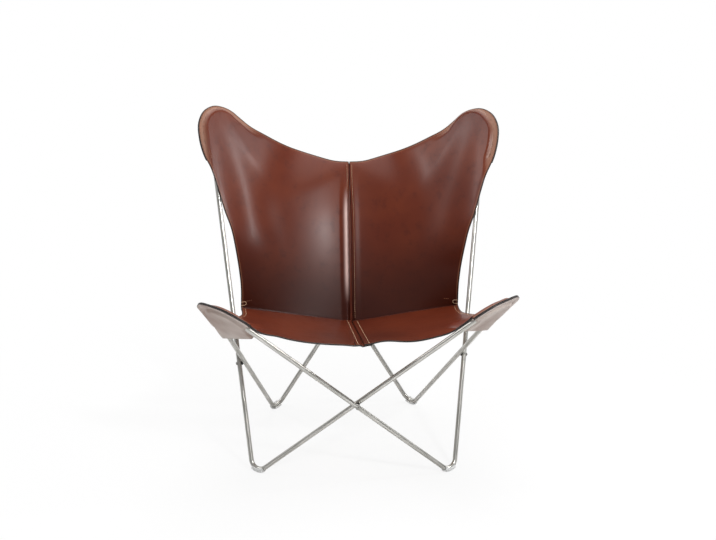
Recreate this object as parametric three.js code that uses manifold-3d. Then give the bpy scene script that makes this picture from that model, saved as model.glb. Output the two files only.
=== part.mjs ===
// Sling chair: two closed loops of bent steel rod, bolted together where they cross,
// carry a leather seat and back by four sewn pockets.
//
// Millimetres. X points to the right as seen by someone facing the chair, Y to the back, Z up.
// The origin is on the floor, under the middle of the chair's bounding box.
//
// The frame is worked out first, from the places where its straight rods would meet if the
// bends were sharp. The leather is worked out from the frame: each half of the sling uses the
// rods of its own side, in a coordinate "a" that grows from the middle outwards.

import * as THREE from 'three';
import { mergeVertices } from 'three/addons/utils/BufferGeometryUtils.js';
import Module from 'manifold-3d';

const wasm = await Module();
wasm.setup();

// Sizes of the steel frame
const ROD_DIAMETER = 12;
const FOOT_BEND_RADIUS = 27;
const TOP_BEND_RADIUS = 40;
const FRONT_FOOT_HALF_WIDTH = 250;
const REAR_FOOT_HALF_WIDTH = 205;
const FOOT_HALF_DEPTH = 220;
const FRONT_TOP_FORWARD = 393;
const FRONT_TOP_HEIGHT = 530;
const REAR_TOP_HALF_WIDTH = 374;
const REAR_TOP_BACK = 240;
const REAR_TOP_HEIGHT = 923;
const FRONT_TOPS_SIDE_SHIFT = 2.5;

// Sizes of the fittings
const SPACER_THICKNESS = 2.4;
const SPACER_DIAMETER = 11;
const SCREW_DIAMETER = 5;
const SCREW_HEAD_DIAMETER = 9;
const SCREW_HEAD_HEIGHT = 2.6;
const SCREW_HEAD_EDGE = 0.8;
const THREAD_DEPTH = 7;
const BORE_SPARE_DEPTH = 1.5;
const GLIDE_THICKNESS = 3;
const GLIDE_FLAT_DEPTH = 0.5;
const GLIDE_WRAP_DEGREES = 200;
const GLIDE_TURN_DEGREES = 64;
const FIT = 0.3;

// Sizes of the leather
const LEATHER = 3.5;
const STRIP_LEATHER = 2.5;
const STRIP_WIDTH = 40;
const STRIP_CLEARANCE = 0.9;
const SEAM_GAP = 2;
const SEAM_SIDE_SHIFT = 13;
const SEAM_SHIFT_HALF_WIDTH = 190;
const MIDDLE_ROUNDING = 10;
const REAR_LOBE_MARGIN = 38;
const FRONT_LOBE_MARGIN = 43;
const FLANGE_OUTER = 29;
const FLANGE_INNER = 22;
const OVER_ROD = 18;
const ROD_CLEARANCE = 0.8;

// The fold between seat and back
const WAIST_HALF_WIDTH = 294;
const WAIST_HEIGHT = 352;
const WAIST_BACK = 68;
const FOLD_HEIGHT = 289;
const FOLD_BACK = 120;
const FOLD_OVERHANG = 2;

// The hang of the seat
const SEAT_FRONT_FORWARD = 322;
const SEAT_FRONT_HEIGHT = 385;
const SEAT_WING_LIFT = 166;
const SEAT_WING_HALF_WIDTH = 366;
const SEAT_WING_REACH = 466;
const SEAT_WING_POWER = 2.2;
const SEAT_HELD_WIDTH = 25;
const SEAT_FREE_WIDTH = 80;
const SEAT_SIDE_HELD_LENGTH = 130;
const SEAT_SIDE_FREE_LENGTH = 260;
const SEAT_EDGE_HELD_LENGTH = 20;
const SEAT_EDGE_FREE_LENGTH = 110;

// The hang of the back
const BACK_DIP_HEIGHT = 697;
const BACK_DIP_BACK = 298;
const BACK_BOW_DEPTH = 11;
const BACK_WING_HALF_WIDTH = 350;
const BACK_WING_FORWARD = 182;
const BACK_FOLD_FADE = 80;
const BACK_HELD_WIDTH = 60;
const BACK_FREE_WIDTH = 200;
const BACK_SIDE_HELD_LENGTH = 230;
const BACK_SIDE_FREE_LENGTH = 400;
const BACK_EDGE_HELD_LENGTH = 80;
const BACK_EDGE_FREE_LENGTH = 260;

// Outlines below the lobes. On the sides a point is given by its shares of the way from the
// waist out to the corner of the rods and from the waist up or forward to it. On the edges the
// shares count from the middle of the edge.
const backSideShares = [
  [1.03, 0.7],
  [0.73, 0.574],
  [0.38, 0.434],
  [0.08, 0.268],
  [-0.03, 0.119],
  [0, 0],
];
const backTopShares = [[0.665, 0.425], [0.457, 0.208], [0.236, 0.08], [0, 0]];
const seatSideShares = [[0.807, 0.64], [0.334, 0.423], [-0.028, 0.209], [0, 0]];
const seatFrontShares = [[0.716, 0.586], [0.492, 0.293], [0.246, 0.076], [0, 0]];

// Outlines of the lobes round the bends: shares of the bend's turn, from its middle to the side
// or to the edge, and shares of the margin.
const backSideLobeShares = [[0, 1], [-0.38, 0.97], [-0.77, 0.95], [-1.15, 1]];
const backTopLobeShares = [[0, 1], [0.36, 1], [0.71, 1], [1.04, 1]];
const seatSideLobeShares = [[0, 0.92], [-0.41, 1.05], [-0.83, 1.08], [-1.24, 1.04]];
const seatFrontLobeShares = [[0, 0.92], [0.38, 0.85], [0.77, 0.88], [1.12, 0.95]];

// How far the pockets reach along the outlines, from the tip of the lobe to the waist and to
// the middle of the edge
const BACK_POCKET_SIDE_SHARE = 0.27;
const BACK_POCKET_TOP_SHARE = 0.36;
const SEAT_POCKET_SIDE_SHARE = 0.42;
const SEAT_POCKET_FRONT_SHARE = 0.34;

// Fineness of the faceted solids
const ROD_SIDES = 14;
const FOOT_BEND_STEPS = 9;
const TOP_BEND_STEPS = 9;
const ROUND_SIDES = 24;
const GLIDE_SIDES = 12;
const GLIDE_STEPS = 6;
const OUTLINE_SAMPLES = 160;
const EDGE_ROWS = 12;
const EDGE_ROW_POWER = 1.1;
const FOLD_ROWS = 8;
const POCKET_ROWS = 5;
const MIDDLE_COLUMNS = 6;
const STRIP_ROWS = 10;

// Sizes that follow from the ones above
const rodRadius = ROD_DIAMETER / 2;
const lift = rodRadius + ROD_CLEARANCE + LEATHER / 2;
const flangeLift = (LEATHER + FIT) / 2;
const weldDistance = FIT / 1000;
const shadesOf = {
  steel: { color: 0xb9b6b0, roughness: 0.3, metalness: 1 },
  leather: { color: 0x5a2413, roughness: 0.38, metalness: 0 },
  underside: { color: 0x6f5145, roughness: 0.6, metalness: 0 },
  plastic: { color: 0x2a2a2b, roughness: 0.55, metalness: 0 },
  clear: { color: 0xc9cbc8, roughness: 0.25, metalness: 0 },
};

const group = new THREE.Group();

function addMesh(name, geometry, shade, matrix = new THREE.Matrix4()) {
  const mesh = new THREE.Mesh(geometry, new THREE.MeshStandardMaterial(shadesOf[shade]));
  mesh.name = name;
  mesh.applyMatrix4(matrix);
  group.add(mesh);
}

// Cutting with manifold-3d

function toManifold(geometry) {
  const bare = geometry.clone();
  bare.deleteAttribute('normal');
  bare.deleteAttribute('uv');
  const merged = mergeVertices(bare, weldDistance);
  return new wasm.Manifold(new wasm.Mesh({
    numProp: 3,
    vertProperties: new Float32Array(merged.attributes.position.array),
    triVerts: new Uint32Array(merged.index.array),
  }));
}

function toGeometry(manifold) {
  const mesh = manifold.getMesh();
  const geometry = new THREE.BufferGeometry();
  geometry.setAttribute('position', new THREE.BufferAttribute(mesh.vertProperties, 3));
  geometry.setIndex(new THREE.BufferAttribute(mesh.triVerts, 1));
  geometry.computeVertexNormals();
  return geometry;
}

// Bends: two straight rods leave a corner, and an arc of the given radius joins them

class Bend {
  constructor(corner, towards, other, radius) {
    this.corner = corner;
    this.first = towards.clone().sub(corner).normalize();
    this.second = other.clone().sub(corner).normalize();
    this.half = this.first.angleTo(this.second) / 2;
    this.inward = this.first.clone().add(this.second).normalize();
    this.across = this.second.clone().sub(this.first).normalize();
    this.normal = this.first.clone().cross(this.second).normalize();
    this.radius = radius;
    this.centre = corner.clone().addScaledVector(this.inward, radius / Math.sin(this.half));
    this.reach = Math.PI / 2 - this.half;
  }

  // A point of the arc of the given radius, at an angle from its middle towards the second rod
  at(angle, radius = this.radius) {
    return this.centre.clone()
      .addScaledVector(this.inward, -radius * Math.cos(angle))
      .addScaledVector(this.across, radius * Math.sin(angle));
  }

  // The height of the arc's lowest point
  lowest() {
    return this.centre.z - this.radius * Math.sqrt(1 - this.normal.z ** 2);
  }
}

// The corners of one loop, before it is shifted away from the other one. This loop stands on
// the front left and the rear right foot, and the other loop is its mirror image.

function loopCorners() {
  const corners = {
    frontFoot: new THREE.Vector3(-FRONT_FOOT_HALF_WIDTH, -FOOT_HALF_DEPTH, 0),
    rearTop: new THREE.Vector3(-REAR_TOP_HALF_WIDTH, REAR_TOP_BACK, REAR_TOP_HEIGHT),
    rearFoot: new THREE.Vector3(REAR_FOOT_HALF_WIDTH, FOOT_HALF_DEPTH, 0),
    frontTop: new THREE.Vector3(0, -FRONT_TOP_FORWARD, FRONT_TOP_HEIGHT),
  };
  const axisHeight = rodRadius + GLIDE_THICKNESS;
  const settlingRounds = 4;
  for (let round = 0; round < settlingRounds; round += 1) {
    // The mirrored rear foot, the front foot and the rear top fix a plane, and the mirrored
    // front top lies in it, so the side rods of the two loops cross.
    const mirroredRearFoot = corners.rearFoot.clone().setX(-corners.rearFoot.x);
    const side = new THREE.Plane().setFromCoplanarPoints(
      corners.frontFoot, corners.rearTop, mirroredRearFoot);
    const rest = side.normal.y * corners.frontTop.y + side.normal.z * corners.frontTop.z;
    corners.frontTop.x = (rest + side.constant) / side.normal.x;
    const frontBend = new Bend(corners.frontFoot, corners.rearTop, corners.frontTop, FOOT_BEND_RADIUS);
    const rearBend = new Bend(corners.rearFoot, corners.frontTop, corners.rearTop, FOOT_BEND_RADIUS);
    corners.frontFoot.z += axisHeight - frontBend.lowest();
    corners.rearFoot.z += axisHeight - rearBend.lowest();
  }
  return corners;
}

const base = loopCorners();
const mirrored = Object.fromEntries(
  Object.entries(base).map(([key, corner]) => [key, corner.clone().setX(-corner.x)]));

function commonNormal(a, b, c, d) {
  return b.clone().sub(a).cross(d.clone().sub(c)).normalize();
}

// The loops are moved apart until the rods that cross leave room for a spacer. Moving them apart
// along Y widens the left crossing and narrows the right one, and a small shift of both front
// tops to the left evens that out.
const frontNormal = commonNormal(base.frontFoot, base.frontTop, mirrored.frontFoot, mirrored.frontTop);
const sideNormal = commonNormal(base.frontFoot, base.rearTop, mirrored.rearFoot, mirrored.frontTop);
const apart = (ROD_DIAMETER + SPACER_THICKNESS + 2 * FIT) / 2;
const shiftBack = apart / Math.abs(frontNormal.y);
const shiftSide = apart / Math.abs(sideNormal.x);
const firstShift = new THREE.Vector3(-shiftSide, shiftBack, 0);

function shifted(corners, shift) {
  const moved = Object.fromEntries(
    Object.entries(corners).map(([key, corner]) => [key, corner.clone().add(shift)]));
  moved.frontTop.x -= FRONT_TOPS_SIDE_SHIFT;
  return moved;
}

const loops = [shifted(base, firstShift), shifted(mirrored, firstShift.clone().negate())];

function bendsOf(loop) {
  return [
    new Bend(loop.frontFoot, loop.frontTop, loop.rearTop, FOOT_BEND_RADIUS),
    new Bend(loop.rearTop, loop.frontFoot, loop.rearFoot, TOP_BEND_RADIUS),
    new Bend(loop.rearFoot, loop.rearTop, loop.frontTop, FOOT_BEND_RADIUS),
    new Bend(loop.frontTop, loop.rearFoot, loop.frontFoot, TOP_BEND_RADIUS),
  ];
}

// The rod's middle line. Its parameter counts rings, so a straight run takes one step and a
// bend takes many.
class LoopRoute extends THREE.Curve {
  constructor(bends) {
    super();
    this.pieces = [];
    for (const bend of bends) {
      const steps = bend.radius === TOP_BEND_RADIUS ? TOP_BEND_STEPS : FOOT_BEND_STEPS;
      for (let step = 0; step < steps; step += 1) {
        const from = bend.reach * (2 * step / steps - 1);
        const to = bend.reach * (2 * (step + 1) / steps - 1);
        this.pieces.push((share) => bend.at(from + (to - from) * share));
      }
      const next = bends[(bends.indexOf(bend) + 1) % bends.length];
      const start = bend.at(bend.reach);
      const end = next.at(-next.reach);
      this.pieces.push((share) => start.clone().lerp(end, share));
    }
  }

  getPoint(t) {
    const place = Math.min(Math.max(t, 0), 1) * this.pieces.length;
    const index = Math.min(Math.floor(place), this.pieces.length - 1);
    return this.pieces[index](place - index);
  }

  getPointAt(u) {
    return this.getPoint(u);
  }

  getTangentAt(u) {
    return this.getTangent(u);
  }
}

// Joints: at each crossing a spacer lies between the rods, and a screw goes through the outer
// rod and the spacer into a blind threaded bore of the inner rod.

function crossing(outerFrom, outerTo, innerFrom, innerTo) {
  const outer = new THREE.Line3(outerFrom, outerTo);
  const along = outerTo.clone().sub(outerFrom).normalize();
  const normal = commonNormal(outerFrom, outerTo, innerFrom, innerTo);
  const innerAlong = innerTo.clone().sub(innerFrom).normalize();
  const between = innerFrom.clone().sub(outerFrom);
  if (between.dot(normal) < 0) normal.negate();
  const slide = along.clone().cross(normal);
  const reach = between.dot(slide) / innerAlong.dot(slide);
  const innerPoint = innerFrom.clone().addScaledVector(innerAlong, -reach);
  const outerPoint = outer.closestPointToPoint(innerPoint, false, new THREE.Vector3());
  return { outerPoint, inwards: normal, distance: outerPoint.distanceTo(innerPoint) };
}

function turned(direction) {
  return new THREE.Quaternion().setFromUnitVectors(new THREE.Vector3(0, 0, 1), direction);
}

function jointMatrix(joint) {
  const unit = new THREE.Vector3(1, 1, 1);
  return new THREE.Matrix4().compose(joint.outerPoint, turned(joint.inwards), unit);
}

const [first, second] = loops;
const joints = {
  front: crossing(second.frontTop, second.frontFoot, first.frontTop, first.frontFoot),
  rear: crossing(first.rearTop, first.rearFoot, second.rearTop, second.rearFoot),
  left: crossing(first.frontFoot, first.rearTop, second.rearFoot, second.frontTop),
  right: crossing(second.frontFoot, second.rearTop, first.rearFoot, first.frontTop),
};
const outerLoopOf = { front: second, rear: first, left: first, right: second };

function latheAlongZ(profile) {
  const points = profile.map(([radius, height]) => new THREE.Vector2(radius, height));
  return new THREE.LatheGeometry(points, ROUND_SIDES).rotateX(Math.PI / 2);
}

// The screw points along its joint's inward direction, and the outer rod's middle line is at
// the height zero.
function screwProfile(joint) {
  const seat = -rodRadius - FIT;
  const tip = joint.distance - rodRadius + THREAD_DEPTH;
  const headRadius = SCREW_HEAD_DIAMETER / 2;
  const shankRadius = SCREW_DIAMETER / 2;
  return [
    [0, seat - SCREW_HEAD_HEIGHT],
    [headRadius / 2, seat - SCREW_HEAD_HEIGHT],
    [headRadius, seat - SCREW_HEAD_EDGE],
    [headRadius, seat],
    [shankRadius, seat],
    [shankRadius, tip],
    [0, tip],
  ];
}

function ringProfile(innerRadius, outerRadius, from, to) {
  return [
    [innerRadius, from],
    [outerRadius, from],
    [outerRadius, to],
    [innerRadius, to],
    [innerRadius, from],
  ];
}

function pinProfile(radius, from, to) {
  return [
    [0, from],
    [radius, from],
    [radius, to],
    [0, to],
  ];
}

const boreRadius = SCREW_DIAMETER / 2 + FIT;

function addLoop(name, loop) {
  const route = new LoopRoute(bendsOf(loop));
  const rings = route.pieces.length;
  let rod = toManifold(new THREE.TubeGeometry(route, rings, rodRadius, ROD_SIDES, true));
  for (const [place, joint] of Object.entries(joints)) {
    const isOuter = outerLoopOf[place] === loop;
    const from = isOuter ? -ROD_DIAMETER : joint.distance - ROD_DIAMETER;
    const innerEnd = joint.distance - rodRadius + THREAD_DEPTH + BORE_SPARE_DEPTH;
    const to = isOuter ? rodRadius + SPACER_THICKNESS / 2 : innerEnd;
    const start = isOuter ? from : joint.distance - rodRadius - SPACER_THICKNESS / 2;
    const drill = latheAlongZ(pinProfile(boreRadius, start, to));
    rod = rod.subtract(toManifold(drill.applyMatrix4(jointMatrix(joint))));
  }
  addMesh(name, toGeometry(rod), 'steel');
}

function addJoint(place, joint) {
  const matrix = jointMatrix(joint);
  const innerFace = joint.distance - rodRadius - FIT;
  const washer = ringProfile(boreRadius, SPACER_DIAMETER / 2, rodRadius + FIT, innerFace);
  addMesh(`spacer_${place}`, latheAlongZ(washer), 'plastic', matrix);
  addMesh(`screw_${place}`, latheAlongZ(screwProfile(joint)), 'steel', matrix);
}

addLoop('frame_loop_left', first);
addLoop('frame_loop_right', second);
for (const [place, joint] of Object.entries(joints)) addJoint(place, joint);

// Foot glides: a plastic shell clipped under each foot bend and cut flat by the floor

class ArcRoute extends THREE.Curve {
  constructor(radius, turn) {
    super();
    this.radius = radius;
    this.turn = turn;
  }

  getPoint(t) {
    const angle = this.turn * (t - 1 / 2);
    return new THREE.Vector3(this.radius * Math.cos(angle), this.radius * Math.sin(angle), 0);
  }
}

function glideSection() {
  const wrap = THREE.MathUtils.degToRad(GLIDE_WRAP_DEGREES);
  const innerRadius = rodRadius + FIT;
  const outerRadius = rodRadius + GLIDE_THICKNESS + GLIDE_FLAT_DEPTH;
  const points = [];
  for (const [radius, sign] of [[outerRadius, 1], [innerRadius, -1]]) {
    for (let step = 0; step <= GLIDE_SIDES; step += 1) {
      const angle = sign * wrap * (step / GLIDE_SIDES - 1 / 2);
      points.push(new THREE.Vector2(radius * Math.sin(angle), -radius * Math.cos(angle)));
    }
  }
  return new THREE.Shape(points);
}

function addGlide(name, bend) {
  const route = new ArcRoute(FOOT_BEND_RADIUS, THREE.MathUtils.degToRad(GLIDE_TURN_DEGREES));
  const shell = new THREE.ExtrudeGeometry(glideSection(), { steps: GLIDE_STEPS, extrudePath: route });
  // The arc bulges along its own X, which is turned to the side of the bend that is lowest.
  const down = new THREE.Vector3(0, 0, -1).projectOnPlane(bend.normal).normalize();
  const basis = new THREE.Matrix4().makeBasis(down, bend.normal.clone().cross(down), bend.normal);
  basis.setPosition(bend.centre);
  const floorSize = 4 * FOOT_BEND_RADIUS;
  const floor = new THREE.BoxGeometry(floorSize, floorSize, floorSize);
  floor.translate(bend.centre.x, bend.centre.y, -floorSize / 2);
  const glide = toManifold(shell.applyMatrix4(basis)).subtract(toManifold(floor));
  addMesh(name, toGeometry(glide), 'clear');
}

const footBends = {
  front_left: bendsOf(first)[0],
  rear_right: bendsOf(first)[2],
  front_right: bendsOf(second)[0],
  rear_left: bendsOf(second)[2],
};
for (const [place, bend] of Object.entries(footBends)) addGlide(`glide_${place}`, bend);

// The leather. A half of the sling is worked out in a, Y and Z, where a is X times the side.

function smoothstep(from, to, value) {
  return THREE.MathUtils.smoothstep(value, from, to);
}

function inHalf(vector, side) {
  return new THREE.Vector3(vector.x * side, vector.y, vector.z);
}

// The two rods under one corner of the leather: their plane, and how far a point lies outside
// the rods' middle line
class Carrier {
  constructor(top, sideFoot, edgeFoot, side, margin, hold, facing) {
    const corner = inHalf(top, side);
    this.corner = corner;
    this.bend = new Bend(corner, inHalf(sideFoot, side), inHalf(edgeFoot, side), TOP_BEND_RADIUS);
    this.hold = hold;
    this.normal = this.bend.normal.clone();
    if (this.normal.dot(facing) < 0) this.normal.negate();
    this.margin = margin;
    this.plane = new THREE.Plane().setFromNormalAndCoplanarPoint(
      this.normal, corner.clone().addScaledVector(this.normal, lift));
  }

  // How firmly one rod holds the leather in the rods' plane: fully near the bend, and less and
  // less further along the rod or further in from it
  rodHoldAt(point, rod, other, [heldLength, freeLength]) {
    const from = point.clone().sub(this.bend.centre);
    const inwards = other.clone().addScaledVector(rod, -other.dot(rod)).normalize();
    const inside = from.dot(inwards) + this.bend.radius;
    const [heldWidth, freeWidth] = this.hold.widths;
    const widthShare = 1 - smoothstep(heldWidth, freeWidth, inside);
    return widthShare * (1 - smoothstep(heldLength, freeLength, from.dot(rod)));
  }

  holdAt(point) {
    const { first: sideRod, second: edgeRod } = this.bend;
    const bySide = this.rodHoldAt(point, sideRod, edgeRod, this.hold.sideLengths);
    const byEdge = this.rodHoldAt(point, edgeRod, sideRod, this.hold.edgeLengths);
    return 1 - (1 - bySide) * (1 - byEdge);
  }

  outlinePoint(angle, marginShare) {
    return this.bend.at(angle, this.bend.radius + this.margin * marginShare);
  }

  outsideRod(point) {
    const { centre, inward, across, half, reach, radius } = this.bend;
    const from = point.clone().sub(centre);
    const along = -from.dot(inward);
    const sideways = from.dot(across);
    if (Math.abs(Math.atan2(sideways, along)) < reach) return Math.hypot(along, sideways) - radius;
    return Math.abs(sideways) * Math.cos(half) + along * Math.sin(half) - radius;
  }
}

const foldSlope = (WAIST_HEIGHT - FOLD_HEIGHT) / WAIST_HALF_WIDTH;
const foldSweep = (FOLD_BACK - WAIST_BACK) / WAIST_HALF_WIDTH;
const seatRise = (SEAT_FRONT_HEIGHT - FOLD_HEIGHT) / (SEAT_FRONT_FORWARD + FOLD_BACK);
const backRise = BACK_DIP_HEIGHT - FOLD_HEIGHT;
const backBow = 4 * BACK_BOW_DEPTH / backRise ** 2;
const backLean = (BACK_DIP_BACK - FOLD_BACK) / backRise - backBow * backRise;

function rounded(a) {
  return Math.hypot(a, MIDDLE_ROUNDING) - MIDDLE_ROUNDING;
}

// Height of the seat leather. From the fold it rises straight to the front, and the front
// corners lift with the powers of both distances until the rods' own plane takes over. A pocket
// is held in that plane everywhere.
function seatPoint(half, a, forward, isHeld = false) {
  const r = rounded(a);
  const ahead = Math.max(FOLD_BACK - foldSweep * r + forward, 0);
  const share = ahead / SEAT_WING_REACH;
  const wing = SEAT_WING_LIFT * (r / SEAT_WING_HALF_WIDTH) ** SEAT_WING_POWER * share ** 2;
  const free = FOLD_HEIGHT + foldSlope * r * (1 - share) + seatRise * ahead + wing;
  const { plane } = half.seatCarrier;
  const onRods = -(plane.constant + plane.normal.x * a - plane.normal.y * forward) / plane.normal.z;
  const hold = isHeld ? 1 : half.seatCarrier.holdAt(new THREE.Vector3(a, -forward, onRods));
  return new THREE.Vector3(a, -forward, THREE.MathUtils.lerp(free, onRods, hold));
}

// Depth of the back leather. Its middle leans back in a slight bow, its sides come forward
// with the square of a, and its corners lie in the plane of the rods.
function backPoint(half, a, height, isHeld = false) {
  const r = rounded(a);
  const foldHeight = FOLD_HEIGHT + foldSlope * r;
  const middleAt = (z) => FOLD_BACK + backLean * (z - FOLD_HEIGHT) + backBow * (z - FOLD_HEIGHT) ** 2;
  const fold = Math.exp(-Math.max(height - foldHeight, 0) / BACK_FOLD_FADE);
  const foldForward = middleAt(foldHeight) - (FOLD_BACK - foldSweep * r);
  const wingForward = BACK_WING_FORWARD * (r / BACK_WING_HALF_WIDTH) ** 2;
  const free = middleAt(height) - foldForward * fold - wingForward * (1 - fold);
  const { plane } = half.backCarrier;
  const onRods = -(plane.constant + plane.normal.x * a + plane.normal.z * height) / plane.normal.y;
  const hold = isHeld ? 1 : half.backCarrier.holdAt(new THREE.Vector3(a, onRods, height));
  return new THREE.Vector3(a, THREE.MathUtils.lerp(free, onRods, hold), height);
}

const seatSheet = {
  name: 'seat',
  pointAt: seatPoint,
  carrierOf: (half) => half.seatCarrier,
  flat: (point) => [point.x, -point.y],
  sideLobeShares: seatSideLobeShares,
  edgeLobeShares: seatFrontLobeShares,
  sideShares: seatSideShares,
  edgeShares: seatFrontShares,
  pocketSideShare: SEAT_POCKET_SIDE_SHARE,
  pocketEdgeShare: SEAT_POCKET_FRONT_SHARE,
  waist: new THREE.Vector2(WAIST_HALF_WIDTH, -WAIST_BACK),
  edgeMiddle: new THREE.Vector2(0, SEAT_FRONT_FORWARD),
  foldEnd: (sideways) => -(FOLD_BACK - foldSweep * rounded(sideways)) - FOLD_OVERHANG,
};
const backSheet = {
  name: 'back',
  pointAt: backPoint,
  carrierOf: (half) => half.backCarrier,
  flat: (point) => [point.x, point.z],
  sideLobeShares: backSideLobeShares,
  edgeLobeShares: backTopLobeShares,
  sideShares: backSideShares,
  edgeShares: backTopShares,
  pocketSideShare: BACK_POCKET_SIDE_SHARE,
  pocketEdgeShare: BACK_POCKET_TOP_SHARE,
  waist: new THREE.Vector2(WAIST_HALF_WIDTH, WAIST_HEIGHT),
  edgeMiddle: new THREE.Vector2(0, BACK_DIP_HEIGHT),
  foldEnd: (sideways) => FOLD_HEIGHT + foldSlope * rounded(sideways) + LEATHER,
};

// The leather's normal, from the slopes of its formula. It faces the sitter.
function normalAt(sheet, half, a, b, isHeld) {
  const step = LEATHER;
  const pointAt = (x, y) => sheet.pointAt(half, x, y, isHeld);
  const across = pointAt(a + step, b).sub(pointAt(a - step, b));
  const along = pointAt(a, b + step).sub(pointAt(a, b - step));
  return along.cross(across).normalize().multiplyScalar(sheet === seatSheet ? 1 : -1);
}

// How much of the drop to the sewn flange a point takes: all of it near the edge and outside
// the rods, none over them or away from the corner.
function flangeAt(sheet, half, outline, a, b, isHeld) {
  const carrier = sheet.carrierOf(half);
  const point = sheet.pointAt(half, a, b, isHeld);
  const fromEdge = Math.min(...outline.map((edge) => edge.distanceTo(point)));
  point.addScaledVector(carrier.normal, -lift);
  const outside = Math.min(carrier.outsideRod(point), carrier.margin - fromEdge);
  const hold = isHeld ? 1 : carrier.holdAt(point);
  return hold * smoothstep(FLANGE_INNER, FLANGE_OUTER, outside);
}

function lobe(sheet, half, shares) {
  const carrier = sheet.carrierOf(half);
  return shares.map(([turnShare, marginShare]) => {
    const point = carrier.outlinePoint(turnShare * carrier.bend.reach, marginShare);
    return new THREE.Vector2(...sheet.flat(point));
  });
}

function outlineOf(sheet, half, lobeShares, start, shares) {
  const corner = new THREE.Vector2(...sheet.flat(sheet.carrierOf(half).corner));
  const points = shares.map(([across, along]) => new THREE.Vector2(
    THREE.MathUtils.lerp(start.x, corner.x, across),
    THREE.MathUtils.lerp(start.y, corner.y, along)));
  return new THREE.SplineCurve([...lobe(sheet, half, lobeShares), ...points])
    .getSpacedPoints(OUTLINE_SAMPLES);
}

function sideOutlineOf(sheet, half) {
  return outlineOf(sheet, half, sheet.sideLobeShares, sheet.waist, sheet.sideShares);
}

function edgeOutlineOf(sheet, half) {
  return outlineOf(sheet, half, sheet.edgeLobeShares, sheet.edgeMiddle, sheet.edgeShares);
}

function pick(points, share) {
  const place = share * (points.length - 1);
  const index = Math.min(Math.floor(place), points.length - 2);
  return points[index].clone().lerp(points[index + 1], place - index);
}

// The share of both outlines at which the row between them comes as near to the rods' middle
// line as the given distance
function shareWhere(sheet, half, side, edge, distance) {
  const carrier = sheet.carrierOf(half);
  for (let sample = 0; sample < OUTLINE_SAMPLES; sample += 1) {
    const share = sample / OUTLINE_SAMPLES;
    const middle = pick(side, share).add(pick(edge, share)).divideScalar(2);
    const point = sheet.pointAt(half, middle.x, middle.y).addScaledVector(carrier.normal, -lift);
    if (carrier.outsideRod(point) < distance) return share;
  }
  return 1;
}

// The shares of the rows at the tip, which follow the sewn flange down to the rods' middle
// line, and even steps after them
function rowShares(sheet, half, side, edge, last, steps) {
  const shares = [FLANGE_OUTER, OVER_ROD, OVER_ROD / 2, 0]
    .map((distance) => shareWhere(sheet, half, side, edge, distance));
  const start = shares.at(-1);
  for (let step = 1; step <= steps; step += 1) {
    shares.push(THREE.MathUtils.lerp(start, last, step / steps));
  }
  return [0, ...shares];
}

// Rows of a half panel, from the tip of the lobe to the fold. A row runs from the side outline
// to the edge outline, and past the corner of the edge to the middle line.
function panelRows(sheet, half) {
  const side = sideOutlineOf(sheet, half);
  const edge = edgeOutlineOf(sheet, half);
  const edgeShareOfRows = EDGE_ROWS / (EDGE_ROWS + FOLD_ROWS);
  const rows = rowShares(sheet, half, side, edge, edgeShareOfRows, EDGE_ROWS)
    .map((share) => [pick(side, share), pick(edge, (share / edgeShareOfRows) ** EDGE_ROW_POWER)]);
  const foldMiddle = sheet.foldEnd(0);
  for (let row = 1; row <= FOLD_ROWS; row += 1) {
    const share = row / FOLD_ROWS;
    const from = pick(side, THREE.MathUtils.lerp(edgeShareOfRows, 1, share));
    const to = new THREE.Vector2(0, THREE.MathUtils.lerp(sheet.edgeMiddle.y, foldMiddle, share));
    if (row === FOLD_ROWS) from.setY(sheet.foldEnd(from.x));
    rows.push([from, to]);
  }
  return rows;
}

function pocketRows(sheet, half) {
  const side = sideOutlineOf(sheet, half);
  const edge = edgeOutlineOf(sheet, half);
  return rowShares(sheet, half, side, edge, sheet.pocketSideShare, POCKET_ROWS)
    .map((share) => [
      pick(side, share),
      pick(edge, share * sheet.pocketEdgeShare / sheet.pocketSideShare),
    ]);
}

// Places along a row: the flange at either end, and even steps between
function columnsOf(length, margin) {
  const flange = Math.min(margin - FLANGE_OUTER, length / 6);
  const rod = Math.min(margin - OVER_ROD, length / 3);
  const places = [0, flange, rod];
  const inner = length - 2 * rod;
  for (let step = 1; step < MIDDLE_COLUMNS; step += 1) places.push(rod + inner * step / MIDDLE_COLUMNS);
  places.push(length - rod, length - flange, length);
  return places.map((place) => (length > 0 ? place / length : 0));
}

function toWorld(point, side) {
  const bulge = Math.max(1 - (point.x / SEAM_SHIFT_HALF_WIDTH) ** 2, 0) ** 2;
  return new THREE.Vector3(point.x * side + SEAM_SIDE_SHIFT * bulge, point.y, point.z);
}

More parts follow.
